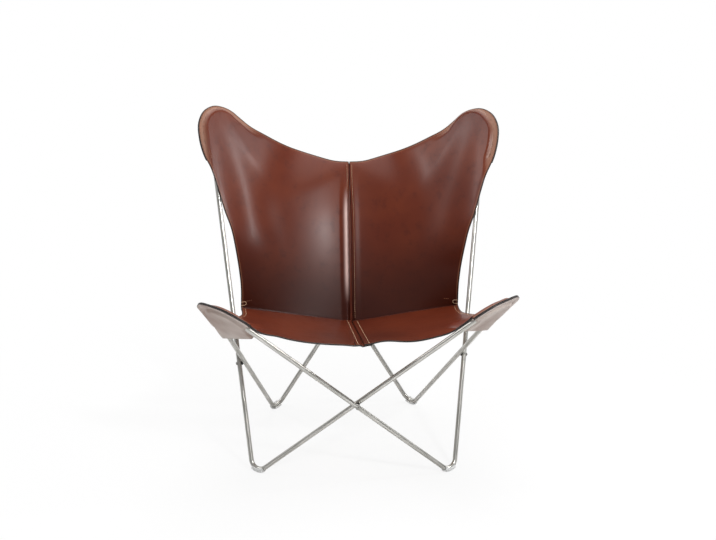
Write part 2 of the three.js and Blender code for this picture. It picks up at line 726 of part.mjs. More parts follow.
// Two grids of points that lie a thickness apart become one closed solid. The first grid is
// the side that the normals point to, and a row that shrinks to a point is closed by leaving
// out its flat triangles.
function sheetSolid(upper, lower, flip) {
  const positions = [];
  const addTriangle = (a, b, c) => {
    const corners = flip ? [a, c, b] : [a, b, c];
    const area = new THREE.Triangle(...corners).getArea();
    if (area > weldDistance ** 2) corners.forEach((corner) => positions.push(...corner.toArray()));
  };
  const addQuad = (a, b, c, d) => {
    addTriangle(a, b, c);
    addTriangle(a, c, d);
  };
  const rows = upper.length - 1;
  const columns = upper[0].length - 1;
  for (let row = 0; row < rows; row += 1) {
    for (let column = 0; column < columns; column += 1) {
      addQuad(upper[row][column], upper[row + 1][column],
        upper[row + 1][column + 1], upper[row][column + 1]);
      addQuad(lower[row][column], lower[row][column + 1],
        lower[row + 1][column + 1], lower[row + 1][column]);
    }
    addQuad(upper[row][0], lower[row][0], lower[row + 1][0], upper[row + 1][0]);
    addQuad(upper[row + 1][columns], lower[row + 1][columns],
      lower[row][columns], upper[row][columns]);
  }
  for (let column = 0; column < columns; column += 1) {
    addQuad(upper[0][column + 1], lower[0][column + 1], lower[0][column], upper[0][column]);
    addQuad(upper[rows][column], lower[rows][column],
      lower[rows][column + 1], upper[rows][column + 1]);
  }
  const geometry = new THREE.BufferGeometry();
  geometry.setAttribute('position', new THREE.Float32BufferAttribute(positions, 3));
  const merged = mergeVertices(geometry, weldDistance);
  merged.computeVertexNormals();
  return merged;
}

// One layer of leather over a set of rows. The level says how far its middle lies from the
// sheet's formula, for a share of the flange's drop.
function layer(sheet, half, rows, thickness, levelAt, isHeld) {
  const upper = [];
  const lower = [];
  const { margin } = sheet.carrierOf(half);
  const onSheet = (flat) => sheet.pointAt(half, flat.x, flat.y, isHeld);
  const outline = [...sideOutlineOf(sheet, half), ...edgeOutlineOf(sheet, half)].map(onSheet);
  for (const [from, to] of rows) {
    const columns = columnsOf(onSheet(from).distanceTo(onSheet(to)), margin).map((share) => {
      const flat = from.clone().lerp(to, share);
      const a = Math.max(flat.x, half.middle);
      const point = sheet.pointAt(half, a, flat.y, isHeld);
      const normal = normalAt(sheet, half, a, flat.y, isHeld);
      const level = levelAt(flangeAt(sheet, half, outline, a, flat.y, isHeld));
      return [level + thickness / 2, level - thickness / 2].map(
        (offset) => toWorld(point.clone().addScaledVector(normal, offset), half.side));
    });
    upper.push(columns.map(([point]) => point));
    lower.push(columns.map(([, point]) => point));
  }
  return sheetSolid(upper, lower, (half.side > 0) === (sheet === backSheet));
}

const panelLevel = (flange) => -(lift - flangeLift) * flange;
const pocketLevel = (flange) => -2 * lift + (lift - flangeLift) * flange;

function addHalf(place, half) {
  for (const sheet of [backSheet, seatSheet]) {
    const panel = layer(sheet, half, panelRows(sheet, half), LEATHER, panelLevel, false);
    const pocket = layer(sheet, half, pocketRows(sheet, half), LEATHER, pocketLevel, true);
    addMesh(`${sheet.name}_panel_${place}`, panel, 'leather');
    addMesh(`${sheet.name}_pocket_${place}`, pocket, 'underside');
  }
}

const backHold = {
  widths: [BACK_HELD_WIDTH, BACK_FREE_WIDTH],
  sideLengths: [BACK_SIDE_HELD_LENGTH, BACK_SIDE_FREE_LENGTH],
  edgeLengths: [BACK_EDGE_HELD_LENGTH, BACK_EDGE_FREE_LENGTH],
};
const seatHold = {
  widths: [SEAT_HELD_WIDTH, SEAT_FREE_WIDTH],
  sideLengths: [SEAT_SIDE_HELD_LENGTH, SEAT_SIDE_FREE_LENGTH],
  edgeLengths: [SEAT_EDGE_HELD_LENGTH, SEAT_EDGE_FREE_LENGTH],
};

// The back hangs from the loop whose side rod is the outer one, and the seat from the other.
function makeHalf(side, backLoop, seatLoop) {
  const forward = new THREE.Vector3(0, -1, 0);
  const up = new THREE.Vector3(0, 0, 1);
  const { rearTop, frontFoot, rearFoot } = backLoop;
  const { frontTop, rearFoot: farFoot, frontFoot: nearFoot } = seatLoop;
  return {
    side,
    middle: SEAM_GAP / 2,
    backCarrier: new Carrier(rearTop, frontFoot, rearFoot, side, REAR_LOBE_MARGIN, backHold, forward),
    seatCarrier: new Carrier(frontTop, farFoot, nearFoot, side, FRONT_LOBE_MARGIN, seatHold, up),
  };
}

const halves = { left: makeHalf(-1, first, second), right: makeHalf(1, second, first) };
for (const [place, half] of Object.entries(halves)) addHalf(place, half);

// The middle strips, behind the back and under the seat, to which the panels are sewn
function addStrip(sheet, from, to) {
  const level = -(LEATHER + STRIP_LEATHER) / 2 - STRIP_CLEARANCE;
  const columns = [-1, -1 / 2, 0, 1 / 2, 1].map((share) => share * STRIP_WIDTH / 2);
  const upper = [];
  const lower = [];
  for (let row = 0; row <= STRIP_ROWS; row += 1) {
    const b = THREE.MathUtils.lerp(from, to, row / STRIP_ROWS);
    const line = columns.map((x) => {
      const half = x < 0 ? halves.left : halves.right;
      const a = Math.abs(x);
      const point = sheet.pointAt(half, a, b);
      const normal = normalAt(sheet, half, a, b, false);
      return [level + STRIP_LEATHER / 2, level - STRIP_LEATHER / 2].map(
        (offset) => toWorld(point.clone().addScaledVector(normal, offset), half.side));
    });
    upper.push(line.map(([point]) => point));
    lower.push(line.map(([, point]) => point));
  }
  addMesh(`middle_strip_${sheet.name}`, sheetSolid(upper, lower, sheet === seatSheet), 'leather');
}

addStrip(backSheet, BACK_DIP_HEIGHT - LEATHER, FOLD_HEIGHT + 4 * LEATHER);
addStrip(seatSheet, SEAT_FRONT_FORWARD - LEATHER, -FOLD_BACK + LEATHER);

// The chair stands with the middle of its bounding box over the origin.
const box = new THREE.Box3().setFromObject(group, true);
const centre = box.getCenter(new THREE.Vector3());
group.position.set(-centre.x, -centre.y, -box.min.z);

export default group;
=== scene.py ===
# %% [markdown]
# # A leather sling chair
#
# The chair is a leather sling that hangs by four sewn pockets from two crossed loops of bent
# steel rod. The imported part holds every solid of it, faceted and plain. This lesson dresses the
# part: it puts finer surfaces in the place of the leather and the rods, sews the seams, and
# gives each piece a procedural material.
#
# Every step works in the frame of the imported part, so nothing has to be fitted by eye.

import bpy
import numpy as np
from mathutils import Matrix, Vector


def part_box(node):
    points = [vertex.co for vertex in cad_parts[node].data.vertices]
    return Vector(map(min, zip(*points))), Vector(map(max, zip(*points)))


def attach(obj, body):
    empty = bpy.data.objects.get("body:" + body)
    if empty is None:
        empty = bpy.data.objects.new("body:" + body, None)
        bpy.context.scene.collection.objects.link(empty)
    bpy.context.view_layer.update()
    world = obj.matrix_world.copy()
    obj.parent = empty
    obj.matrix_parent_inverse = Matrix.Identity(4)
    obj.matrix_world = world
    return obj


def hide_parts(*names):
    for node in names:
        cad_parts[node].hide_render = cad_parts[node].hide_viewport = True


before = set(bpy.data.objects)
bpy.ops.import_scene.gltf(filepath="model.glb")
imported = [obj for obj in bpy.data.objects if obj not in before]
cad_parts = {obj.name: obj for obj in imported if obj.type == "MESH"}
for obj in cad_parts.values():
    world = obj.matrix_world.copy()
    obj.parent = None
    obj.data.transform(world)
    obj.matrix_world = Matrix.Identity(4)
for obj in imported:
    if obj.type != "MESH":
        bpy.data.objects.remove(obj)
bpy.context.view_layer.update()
METRE = 1000
print(len(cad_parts), "packed nodes")

# %% [markdown]
# ## Places and directions
#
# All shapes are worked out in millimetres, because leather and rod are sold in them, and they
# become metres only when a mesh is made. X points to the right, Y to the back and Z up. The
# helpers below work on whole arrays of points at once, which is what makes numpy fast.

# %% Vector helpers
def unit(vectors):
    """The vectors divided by their lengths."""
    return vectors / np.maximum(np.linalg.norm(vectors, axis=-1, keepdims=True), 1e-12)


def mix(start, end, share):
    """start at share 0, end at share 1 and a straight line between."""
    return start + (end - start) * share


def smooth(low, high, value):
    """0 below low, 1 above high and the cubic 3t² - 2t³ between, so both ends are level."""
    t = np.clip((value - low) / (high - low), 0, 1)
    return t * t * (3 - 2 * t)


def smoother(low, high, value):
    """As smooth, with the quintic 6t⁵ - 15t⁴ + 10t³, whose curvature has no step either."""
    t = np.clip((value - low) / (high - low), 0, 1)
    return t ** 3 * (10 - 15 * t + 6 * t * t)


def turn_over(points, side):
    """Left and right swap where side is -1."""
    return points * np.array([side, 1, 1])


def walked(path):
    """The way along a path up to each of its points."""
    steps = np.linalg.norm(np.diff(path, axis=0), axis=1)
    return np.concatenate([[0], np.cumsum(steps)])


def read_off(rows, places, at):
    """Rows of values that belong to rising places, read off between them."""
    return np.stack([np.interp(at, places, column) for column in rows.T], axis=-1)


# %% [markdown]
# ## Camera
#
# The photograph was taken from slightly left of the chair and from above the seat, with a long
# lens. The camera was found by fitting the straight rods of the frame to those in the
# photograph. It is built from its three axes, because yaw, pitch and roll then each have their
# own line.

# %% Camera
CAMERA_PLACE = np.array([-220.3, -3179.8, 1474.3])
CAMERA_YAW = np.radians(4.26)
CAMERA_PITCH = np.radians(17.19)
CAMERA_ROLL = np.radians(0.77)
FOCAL_PIXELS = 1289.45
IMAGE_WIDTH_PIXELS = 716
SENSOR_MM = 36
CAMERA_REACH = 50


def make_camera():
    """The camera looks along (sin yaw cos pitch, cos yaw cos pitch, -sin pitch)."""
    forward = np.array([
        np.sin(CAMERA_YAW) * np.cos(CAMERA_PITCH),
        np.cos(CAMERA_YAW) * np.cos(CAMERA_PITCH),
        -np.sin(CAMERA_PITCH),
    ])
    level_right = np.array([np.cos(CAMERA_YAW), -np.sin(CAMERA_YAW), 0])
    level_up = np.cross(level_right, forward)
    right = np.cos(CAMERA_ROLL) * level_right + np.sin(CAMERA_ROLL) * level_up
    up = np.cross(right, forward)
    data = bpy.data.cameras.new("camera")
    data.sensor_fit = "HORIZONTAL"
    data.sensor_width = SENSOR_MM
    data.lens = FOCAL_PIXELS * SENSOR_MM / IMAGE_WIDTH_PIXELS
    data.clip_end = CAMERA_REACH
    camera = bpy.data.objects.new("camera", data)
    axes = np.column_stack([right, up, -forward, CAMERA_PLACE / METRE])
    camera.matrix_world = Matrix(np.vstack([axes, [0, 0, 0, 1]]).tolist())
    bpy.context.scene.collection.objects.link(camera)
    bpy.context.scene.camera = camera
    print("lens", round(data.lens, 2), "mm")


make_camera()

# %% [markdown]
# ## A mesh from arrays
#
# A surface is a grid of points and a grid of their numbers. Quads come from the number grid
# by slicing it four times, one step apart. Where a row of the grid shrinks to one point, as at
# the tip of a pocket, its numbers are made equal, and the quads there lose a corner and become
# triangles.

# %% Mesh helpers
def grid_faces(numbers):
    """Quads of a grid of vertex numbers: each cell's corners, once round."""
    corners = [numbers[:-1, :-1], numbers[1:, :-1], numbers[1:, 1:], numbers[:-1, 1:]]
    return np.stack(corners, axis=-1).reshape(-1, 4)


def split_faces(faces):
    """Quads with four different corners, and triangles where two neighbouring corners are
    one. Both come with the rows of the faces that they were made from."""
    at_start = np.flatnonzero(faces[:, 0] == faces[:, 3])
    at_end = np.flatnonzero(faces[:, 1] == faces[:, 2])
    whole = np.flatnonzero((faces[:, 0] != faces[:, 3]) & (faces[:, 1] != faces[:, 2]))
    triangles = np.concatenate([faces[at_start][:, :3], faces[at_end][:, [0, 1, 3]]])
    return faces[whole], triangles, np.concatenate([whole, at_start, at_end])


def make_piece(name, points, faces, materials, face_materials=None, attributes=None):
    """A smooth mesh object in metres from points in millimetres. Vertices that no face uses
    are left out."""
    quads, triangles, order = split_faces(faces)
    used, numbers = np.unique(np.concatenate([quads.ravel(), triangles.ravel()]),
                              return_inverse=True)
    quads_now = numbers[:quads.size].reshape(-1, 4).tolist()
    triangles_now = numbers[quads.size:].reshape(-1, 3).tolist()
    mesh = bpy.data.meshes.new(name)
    mesh.from_pydata((points[used] / METRE).tolist(), [], quads_now + triangles_now)
    mesh.polygons.foreach_set("use_smooth", np.ones(len(mesh.polygons), bool))
    for material in materials:
        mesh.materials.append(material)
    if face_materials is not None:
        mesh.polygons.foreach_set("material_index", face_materials[order].astype(np.int32))
    for key, values in (attributes or {}).items():
        layer = mesh.attributes.new(key, "FLOAT", "POINT")
        layer.data.foreach_set("value", values[used].astype(np.float32))
    mesh.update()
    piece = bpy.data.objects.new(name, mesh)
    bpy.context.scene.collection.objects.link(piece)
    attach(piece, "root")
    print(name, len(mesh.vertices), "vertices")
    return piece


def looks_along(points, face, outward):
    """Whether a face looks along outward."""
    a, b, c = points[face[:3]]
    return np.dot(np.cross(b - a, c - a), outward) > 0


# %% [markdown]
# ## Shader nodes as arithmetic
#
# A procedural material is a formula, and a formula reads best as one. `Value` wraps a socket
# and turns +, - and * into Math nodes, + and * also with the number on the left. `Nodes.add`
# makes any other node from its type, its settings and what goes into its sockets.

# %% Shader helpers
class Value:
    """A number that a node gives out. Sums with it add Math nodes."""

    def __init__(self, nodes, socket):
        self.nodes = nodes
        self.socket = socket

    def math(self, operation, *others):
        """A Math node of this value and others."""
        return self.nodes.add("ShaderNodeMath", {"operation": operation}, [self, *others])

    def __add__(self, other):
        return self.math("ADD", other)

    def __sub__(self, other):
        return self.math("SUBTRACT", other)

    def __mul__(self, other):
        return self.math("MULTIPLY", other)

    def __radd__(self, other):
        return self + other

    def __rmul__(self, other):
        return self * other

    def clamped(self, low, high):
        """0 at low, 1 at high and smooth between, as smooth() does for arrays."""
        settings = {"interpolation_type": "SMOOTHSTEP"}
        return self.nodes.add("ShaderNodeMapRange", settings,
                              {"Value": self, "From Min": low, "From Max": high})


class Nodes:
    """The node tree of one material."""

    def __init__(self, tree):
        self.tree = tree

    def add(self, kind, settings=None, sockets=None, output=0):
        """A node with its settings and sockets set. It returns one of its outputs."""
        node = self.tree.nodes.new(kind)
        for key, value in (settings or {}).items():
            setattr(node, key, value)
        pairs = sockets.items() if isinstance(sockets, dict) else enumerate(sockets or [])
        for key, value in pairs:
            socket = node.inputs[key]
            if isinstance(value, Value):
                self.tree.links.new(value.socket, socket)
            else:
                socket.default_value = value
        return None if output is None else Value(self, node.outputs[output])

    def object_place(self):
        """The place in the object's own coordinates, which are metres here."""
        return self.add("ShaderNodeTexCoord", output="Object")

    def noise(self, place, scale, detail, roughness=0.5, stretch=None):
        """Blender's noise, 0 to 1, with scale in features per metre."""
        if stretch:
            place = self.add("ShaderNodeMapping", {}, {"Vector": place, "Scale": stretch})
        inputs = {"Vector": place, "Scale": scale, "Detail": detail, "Roughness": roughness}
        return self.add("ShaderNodeTexNoise", {}, inputs, "Fac")

    def attribute(self, name):
        """A number that the mesh holds at each vertex."""
        return self.add("ShaderNodeAttribute", {"attribute_name": name}, output="Fac")

    def mix(self, first, second, share):
        """A mix of two colours."""
        node_inputs = {0: share, 6: first, 7: second}
        return self.add("ShaderNodeMix", {"data_type": "RGBA"}, node_inputs, 2)

    def bump(self, height, distance, strength, normal=None):
        """A bump of a height in 0 to 1, where 1 stands distance metres proud."""
        inputs = {"Height": height, "Distance": distance, "Strength": strength}
        if normal:
            inputs["Normal"] = normal
        return self.add("ShaderNodeBump", {}, inputs)


# %% [markdown]
# A finish is a Principled shader whose sockets are fed by such formulas. Many finishes are one
# fine noise that changes colour, gloss and height together, as on moulded nylon or a painted
# edge, and `speckled` makes those. The others get a function of their own.

# %% Finishes
def colour(red, green, blue):
    """A colour for a socket, from display values of 0 to 255."""
    display = np.array([red, green, blue]) / 255
    linear = np.where(display > 0.04045, ((display + 0.055) / 1.055) ** 2.4, display / 12.92)
    return (*linear.tolist(), 1.0)


def finish_material(name, make, **constants):
    """A material whose Principled shader gets its constants here and its links from make."""
    material = bpy.data.materials.new(name)
    material.use_nodes = True
    nodes = Nodes(material.node_tree)
    shader = material.node_tree.nodes["Principled BSDF"]
    for key, value in constants.items():
        title = key.replace("_", " ").title().replace("Ior", "IOR")
        shader.inputs[title].default_value = value
    for key, value in make(nodes).items():
        nodes.tree.links.new(value.socket, shader.inputs[key])
    return material


def speckled(dark, light, scale, roughness, height, strength, detail=3):
    """A finish of one noise, which runs from the dark colour to the light one. The roughness
    goes from its first number to the sum of both, and the height is in metres."""
    def make(nodes):
        speckle = nodes.noise(nodes.object_place(), scale, detail=detail)
        smoothest, more = roughness
        return {
            "Base Color": nodes.mix(colour(*dark), colour(*light), speckle),
            "Roughness": smoothest + speckle * more,
            "Normal": nodes.bump(speckle, height, strength),
        }
    return make


# %% [markdown]
# ## The steel loops
#
# The frame is two closed loops of 12 mm stainless rod. Each loop goes from a front foot up to
# the rear top of the same side, down to the other rear foot and up to the other front top. The
# corner places below are where the straight rods would meet if the bends were sharp, and the
# bends are arcs that touch both rods. The loops cross in four places, and each is shifted
# outwards there by half of a rod and half of a spacer.

# %% Sizes of the frame
ROD_DIAMETER = 12
FOOT_BEND_RADIUS = 27
TOP_BEND_RADIUS = 40
FRONT_FOOT_HALF_WIDTH = 250
REAR_FOOT_HALF_WIDTH = 205
FOOT_HALF_DEPTH = 220
FRONT_TOP_FORWARD = 393
FRONT_TOP_HEIGHT = 530
REAR_TOP_HALF_WIDTH = 374
REAR_TOP_BACK = 240
REAR_TOP_HEIGHT = 923
FRONT_TOPS_SIDE_SHIFT = 2.5
SPACER_THICKNESS = 2.4
GLIDE_THICKNESS = 3
FIT = 0.3
ROD_RADIUS = ROD_DIAMETER / 2

# %% [markdown]
# A bend follows from its corner. The centre of the arc lies on the line that halves the angle
# between the rods, and its distance from the corner is the radius over the sine of half of that
# angle. The side rods of the two loops have to cross as well, which says how far apart the
# front tops stand, and a few rounds of a small correction set the glides on the floor.

# %% Bends and corners
class Bend:
    """Two straight rods leave a corner, and an arc of the given radius touches both."""

    def __init__(self, corner, towards, other, radius):
        self.first = unit(towards - corner)
        self.second = unit(other - corner)
        self.half = np.arccos(np.dot(self.first, self.second)) / 2
        self.inward = unit(self.first + self.second)
        self.across = unit(self.second - self.first)
        self.normal = unit(np.cross(self.first, self.second))
        self.radius = radius
        self.centre = corner + self.inward * radius / np.sin(self.half)
        self.reach = np.pi / 2 - self.half

    def at(self, angles, radius=None):
        """Points of an arc: the centre, less the inward direction times the cosine of the
        angle, plus the direction across times its sine."""
        r = self.radius if radius is None else radius
        angles = np.asarray(angles)[..., None]
        return self.centre + r * (np.sin(angles) * self.across - np.cos(angles) * self.inward)

    def lowest(self):
        """The height of the arc's lowest point."""
        return self.centre[2] - self.radius * np.sqrt(1 - self.normal[2] ** 2)


def loop_corners():
    """The corners of the loop that stands on the front left foot, before the shift. Mirrored,
    its front top lies in the plane of its own side rod and the mirrored rear foot, so the side
    rods of the two loops cross. The glides under the foot bends touch the floor."""
    corners = {
        "front_foot": np.array([-FRONT_FOOT_HALF_WIDTH, -FOOT_HALF_DEPTH, 0.0]),
        "rear_top": np.array([-REAR_TOP_HALF_WIDTH, REAR_TOP_BACK, REAR_TOP_HEIGHT], float),
        "rear_foot": np.array([REAR_FOOT_HALF_WIDTH, FOOT_HALF_DEPTH, 0.0]),
        "front_top": np.array([0.0, -FRONT_TOP_FORWARD, FRONT_TOP_HEIGHT]),
    }
    rod_middle_height = ROD_RADIUS + GLIDE_THICKNESS
    settling_rounds = 4
    for _ in range(settling_rounds):
        front, top, rear, tip = corners.values()
        side_normal = np.cross(top - front, turn_over(rear, -1) - front)
        tip[0] = np.dot(side_normal[1:], tip[1:] - front[1:]) / side_normal[0] - front[0]
        front_bend = Bend(front, top, tip, FOOT_BEND_RADIUS)
        rear_bend = Bend(rear, tip, top, FOOT_BEND_RADIUS)
        front[2] += rod_middle_height - front_bend.lowest()
        rear[2] += rod_middle_height - rear_bend.lowest()
    return corners


def common_normal(a, b, c, d):
    """The direction square to the line from a to b and to the one from c to d."""
    return unit(np.cross(b - a, d - c))


def both_loops():
    """The two loops, shifted apart at their crossings."""
    left = loop_corners()
    right = {key: turn_over(corner, -1) for key, corner in left.items()}
    front = common_normal(left["front_foot"], left["front_top"],
                          right["front_foot"], right["front_top"])
    sideways = common_normal(left["front_foot"], left["rear_top"],
                             right["rear_foot"], right["front_top"])
    apart = (ROD_DIAMETER + SPACER_THICKNESS + 2 * FIT) / 2
    shift = np.array([-apart / abs(sideways[0]), apart / abs(front[1]), 0])
    left = {key: corner + shift for key, corner in left.items()}
    right = {key: corner - shift for key, corner in right.items()}
    for loop in (left, right):
        loop["front_top"][0] -= FRONT_TOPS_SIDE_SHIFT
    return left, right


LEFT_LOOP, RIGHT_LOOP = both_loops()

# %% [markdown]
# A round rod is a circle carried along a path. The circle needs two directions square to the
# path at every point. They are carried forward from ring to ring, each time made square again,
# and the small twist that is left when the loop closes is shared out over its length.

# %% A tube along a path
# A direction that no path here starts along
ASKEW = np.array([0.3, 0.5, 0.8])


def carried_frames(path):
    """Tangents along a path, and a direction square to them that turns as little as it can."""
    tangents = unit(np.gradient(path, axis=0))
    sideways = [unit(np.cross(tangents[0], ASKEW))]
    for tangent in tangents[1:]:
        sideways.append(unit(sideways[-1] - tangent * np.dot(sideways[-1], tangent)))
    return tangents, np.array(sideways)


def tube(name, path, radius, sides, material, closed=False):
    """A circle of the given radius carried along the path. A closed path doesn't repeat its
    first point, and an open one is drawn in to a point at both ends."""
    wrapped = np.vstack([path[-1:], path, path[:1]]) if closed else path
    tangents, sideways = carried_frames(wrapped)
    radii = np.full(len(path), float(radius))
    turn = np.zeros(len(path))
    if closed:
        last, tangents, sideways = sideways[-1], tangents[1:-1], sideways[1:-1]
        sine = np.dot(np.cross(last, sideways[0]), tangents[0])
        way = walked(wrapped[1:])
        turn = np.arctan2(sine, np.dot(last, sideways[0])) * way[:-1] / way[-1]
    else:
        radii[[0, -1]] = 0
    angles = (np.linspace(0, 2 * np.pi, sides, endpoint=False) + turn[:, None])[..., None]
    upward = np.cross(tangents, sideways)[:, None]
    circle = np.cos(angles) * sideways[:, None] + np.sin(angles) * upward
    points = path[:, None] + radii[:, None, None] * circle
    round_it = {"ring_x": np.cos(angles).ravel(), "ring_y": np.sin(angles).ravel()}
    numbers = np.arange(len(path) * sides).reshape(-1, sides)
    if not closed:
        numbers[[0, -1]] = numbers[[0, -1], :1]
    numbers = np.column_stack([numbers, numbers[:, :1]])
    if closed:
        numbers = np.vstack([numbers, numbers[:1]])
    return make_piece(name, points.reshape(-1, 3), grid_faces(numbers)[:, ::-1], [material],
                      attributes=round_it)


# %% [markdown]
# The middle line of a loop is a chain of arcs, and the straight rods are what lies between the
# end of one arc and the start of the next. A few points are enough on a straight rod.

# %% The rods' middle lines
BEND_STEPS = 28
STRAIGHT_STEPS = 40
ROD_SIDES = 40


def loop_path(loop):
    """The points of all four bends, with the straight rods divided evenly between them."""
    front_foot, rear_top, rear_foot, front_top = loop.values()
    bends = [
        Bend(front_foot, front_top, rear_top, FOOT_BEND_RADIUS),
        Bend(rear_top, front_foot, rear_foot, TOP_BEND_RADIUS),
        Bend(rear_foot, rear_top, front_top, FOOT_BEND_RADIUS),
        Bend(front_top, rear_foot, front_foot, TOP_BEND_RADIUS),
    ]
    shares = np.linspace(0, 1, STRAIGHT_STEPS + 2)[1:-1, None]
    runs = []
    for bend, following in zip(bends, bends[1:] + bends[:1]):
        runs.append(bend.at(np.linspace(-bend.reach, bend.reach, BEND_STEPS)))
        runs.append(mix(bend.at(bend.reach), following.at(-following.reach), shares))
    return np.vstack(runs)


def box_middle(points):
    """The middle of the box round some points."""
    return (points.min(axis=0) + points.max(axis=0)) / 2


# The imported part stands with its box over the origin, so the loops move there too.
cad_low, cad_high = (np.array(corner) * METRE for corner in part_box("frame_loop_left"))
PART_SHIFT = (cad_low + cad_high) / 2 - box_middle(loop_path(LEFT_LOOP))
PART_SHIFT[2] = 0
print("the part is shifted by", PART_SHIFT.round(2), "mm")

# %% [markdown]
# ## Stainless steel
#
# The rods are stainless steel with a satin finish. Drawing the rod through its die leaves fine
# streaks along it, and handling leaves faint cloudy patches. Both change the roughness a
# little, and the colour too. The screws are turned from the same steel.

# %% Steel
STREAKS_ROUND = 1.6
STREAKS_ALONG = 9


def satin_steel(nodes):
    """Streaks are noise over the place round the rod, given by two attributes, plus a little
    of the place itself, so each runs along the rod for a hand's width."""
    place = nodes.object_place()
    ring = nodes.add("ShaderNodeCombineXYZ", {}, [
        nodes.attribute(name) * STREAKS_ROUND for name in ("ring_x", "ring_y")])
    along = nodes.add("ShaderNodeVectorMath", {"operation": "MULTIPLY_ADD"},
                      [place, (STREAKS_ALONG,) * 3, ring])
    streaks = nodes.noise(along, 2, detail=1)
    clouds = nodes.noise(place, 14, detail=3)
    roughness = 0.26 + streaks * 0.06 + clouds * 0.06
    tint = nodes.mix(colour(170, 169, 163), colour(211, 209, 204), streaks.clamped(0.3, 0.7))
    return {
        "Base Color": nodes.mix(tint, colour(156, 155, 148), clouds.clamped(0.5, 0.8) * 0.5),
        "Roughness": roughness,
        "Normal": nodes.bump(streaks, 0.00001, 0.3),
    }


STEEL = finish_material("satin_steel", satin_steel, metallic=1.0)
TURNED_STEEL = finish_material(
    "turned_steel", speckled((142, 141, 136), (176, 175, 170), 1500, (0.3, 0.15), 0.00003, 0.3,
                             detail=2), metallic=1.0)

# %% [markdown]
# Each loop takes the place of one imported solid, with the same middle line and thickness. It has
# enough sides to look round where a highlight runs along it, and it carries the two attributes
# that the streaks in the steel follow.

# %% The rods
for place, loop in (("left", LEFT_LOOP), ("right", RIGHT_LOOP)):
    rod = tube("rod_" + place, loop_path(loop) + PART_SHIFT, ROD_RADIUS, ROD_SIDES, STEEL,
               closed=True)
    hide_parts("frame_loop_" + place)

# %% [markdown]
# ## How the leather hangs
#
# The sling is two seat panels and two back panels of thick saddle leather, and a pocket under
# each corner. Its shape isn't simulated here. A slung leather this stiff settles into smooth
# sheets between its seams, so each half of the seat is a height over its plan and each half of
# the back is a depth over its front view, both functions of two numbers. Near a corner the
# sheet is held in the plane of the two rods that carry it, and further away it is free.
#
# A half is worked out in a, Y and Z, where a is X times the half's side, so that left and right
# share every formula. Most sizes that are a pair of numbers say where something begins and
# where it is complete.

# %% Sizes of the leather
LEATHER = 3.5
STRIP_LEATHER = 2.5
STRIP_WIDTH = 40
SEAM_SIDE_SHIFT = 13
SIDE_SHIFT_AT_WAIST = {"left": -5.5, "right": 4}
SIDE_SHIFT_AT_WING = {"left": -6.5, "right": 0}
SIDE_SHIFT_GROWS = (0, 200)
WING_BEGINS = (290, 350)
BACK_LIFT = {"left": 0.5, "right": -2}
SEAM_SHIFT_HALF_WIDTH = 190
MIDDLE_ROUNDING = 10
LOBE_MARGIN = {"seat": 43, "back": 38}
# How far in from a rod the leather is held, and how far along the side's and the edge's rod
HOLD_WIDTH = {"seat": (20, 110), "back": (45, 225)}
HOLD_ALONG_SIDE = {"seat": (80, 230), "back": (215, 415)}
HOLD_ALONG_EDGE = {"seat": (20, 135), "back": (60, 285)}
FLANGE_OUTER = 27
FLANGE_INNER = 15
FLANGE_DROOP = {"seat": 3, "back": 4}
FLANGE_ENDS = {"side": (120, 330), "edge": (0, 90)}
WING_SAG = {"seat": 5, "back": 11}
WING_SAG_LENGTH = 72
ROD_CLEARANCE = 0.8
LIFT = ROD_RADIUS + ROD_CLEARANCE + LEATHER / 2
FLANGE_LIFT = (LEATHER + FIT) / 2

# The waist and the fold between seat and back
WAIST_HALF_WIDTH = 294
WAIST_HEIGHT = 352
BACK_LIFT_GROWS = (WAIST_HEIGHT, 2 * WAIST_HEIGHT)
WAIST_BACK = 68
FOLD_HEIGHT = 289
FOLD_BACK = 120

# The seat
SEAT_FRONT_FORWARD = 322
SEAT_FRONT_HEIGHT = 385
SEAT_WING_LIFT = 166
SEAT_WING_HALF_WIDTH = 366
SEAT_WING_REACH = 466
SEAT_WING_POWER = 2.2
SEAT_FRONT_WAVE = {"left": 0.0, "right": 10.0}
SEAT_FRONT_WAVE_CENTRE = 46
SEAT_FRONT_WAVE_WIDTH = 52
SEAT_FRONT_HANG = 0.45
SEAT_FRONT_HANG_CENTRE = 4 * SEAT_FRONT_WAVE_CENTRE
SEAT_FRONT_HANG_WIDTH = 1.8 * SEAT_FRONT_WAVE_WIDTH
SEAT_FRONT_DIP = 5
SEAT_FRONT_DIP_WIDTH = 24

# The back
BACK_DIP_HEIGHT = 697
BACK_DIP_BACK = 298
BACK_BOW_DEPTH = 15
BACK_WING_HALF_WIDTH = 350
BACK_WING_FORWARD = 182
BACK_FOLD_FADE = 80

# Slopes and bows that follow from the places above
FOLD_SLOPE = (WAIST_HEIGHT - FOLD_HEIGHT) / WAIST_HALF_WIDTH
FOLD_SWEEP = (FOLD_BACK - WAIST_BACK) / WAIST_HALF_WIDTH
SEAT_RISE = (SEAT_FRONT_HEIGHT - FOLD_HEIGHT) / (SEAT_FRONT_FORWARD + FOLD_BACK)
BACK_RISE = BACK_DIP_HEIGHT - FOLD_HEIGHT
BACK_BOW = 4 * BACK_BOW_DEPTH / BACK_RISE ** 2
BACK_LEAN = (BACK_DIP_BACK - FOLD_BACK) / BACK_RISE - BACK_BOW * BACK_RISE

# %% [markdown]
# At a corner the leather lies on two straight rods and the bend between them. All three are in
# one plane, so the plane over the rods is the leather's shape there. How firmly each rod holds
# it is a product of two soft steps, one in from the rod and one along it, and soft steps leave
# no crease where the hold ends.

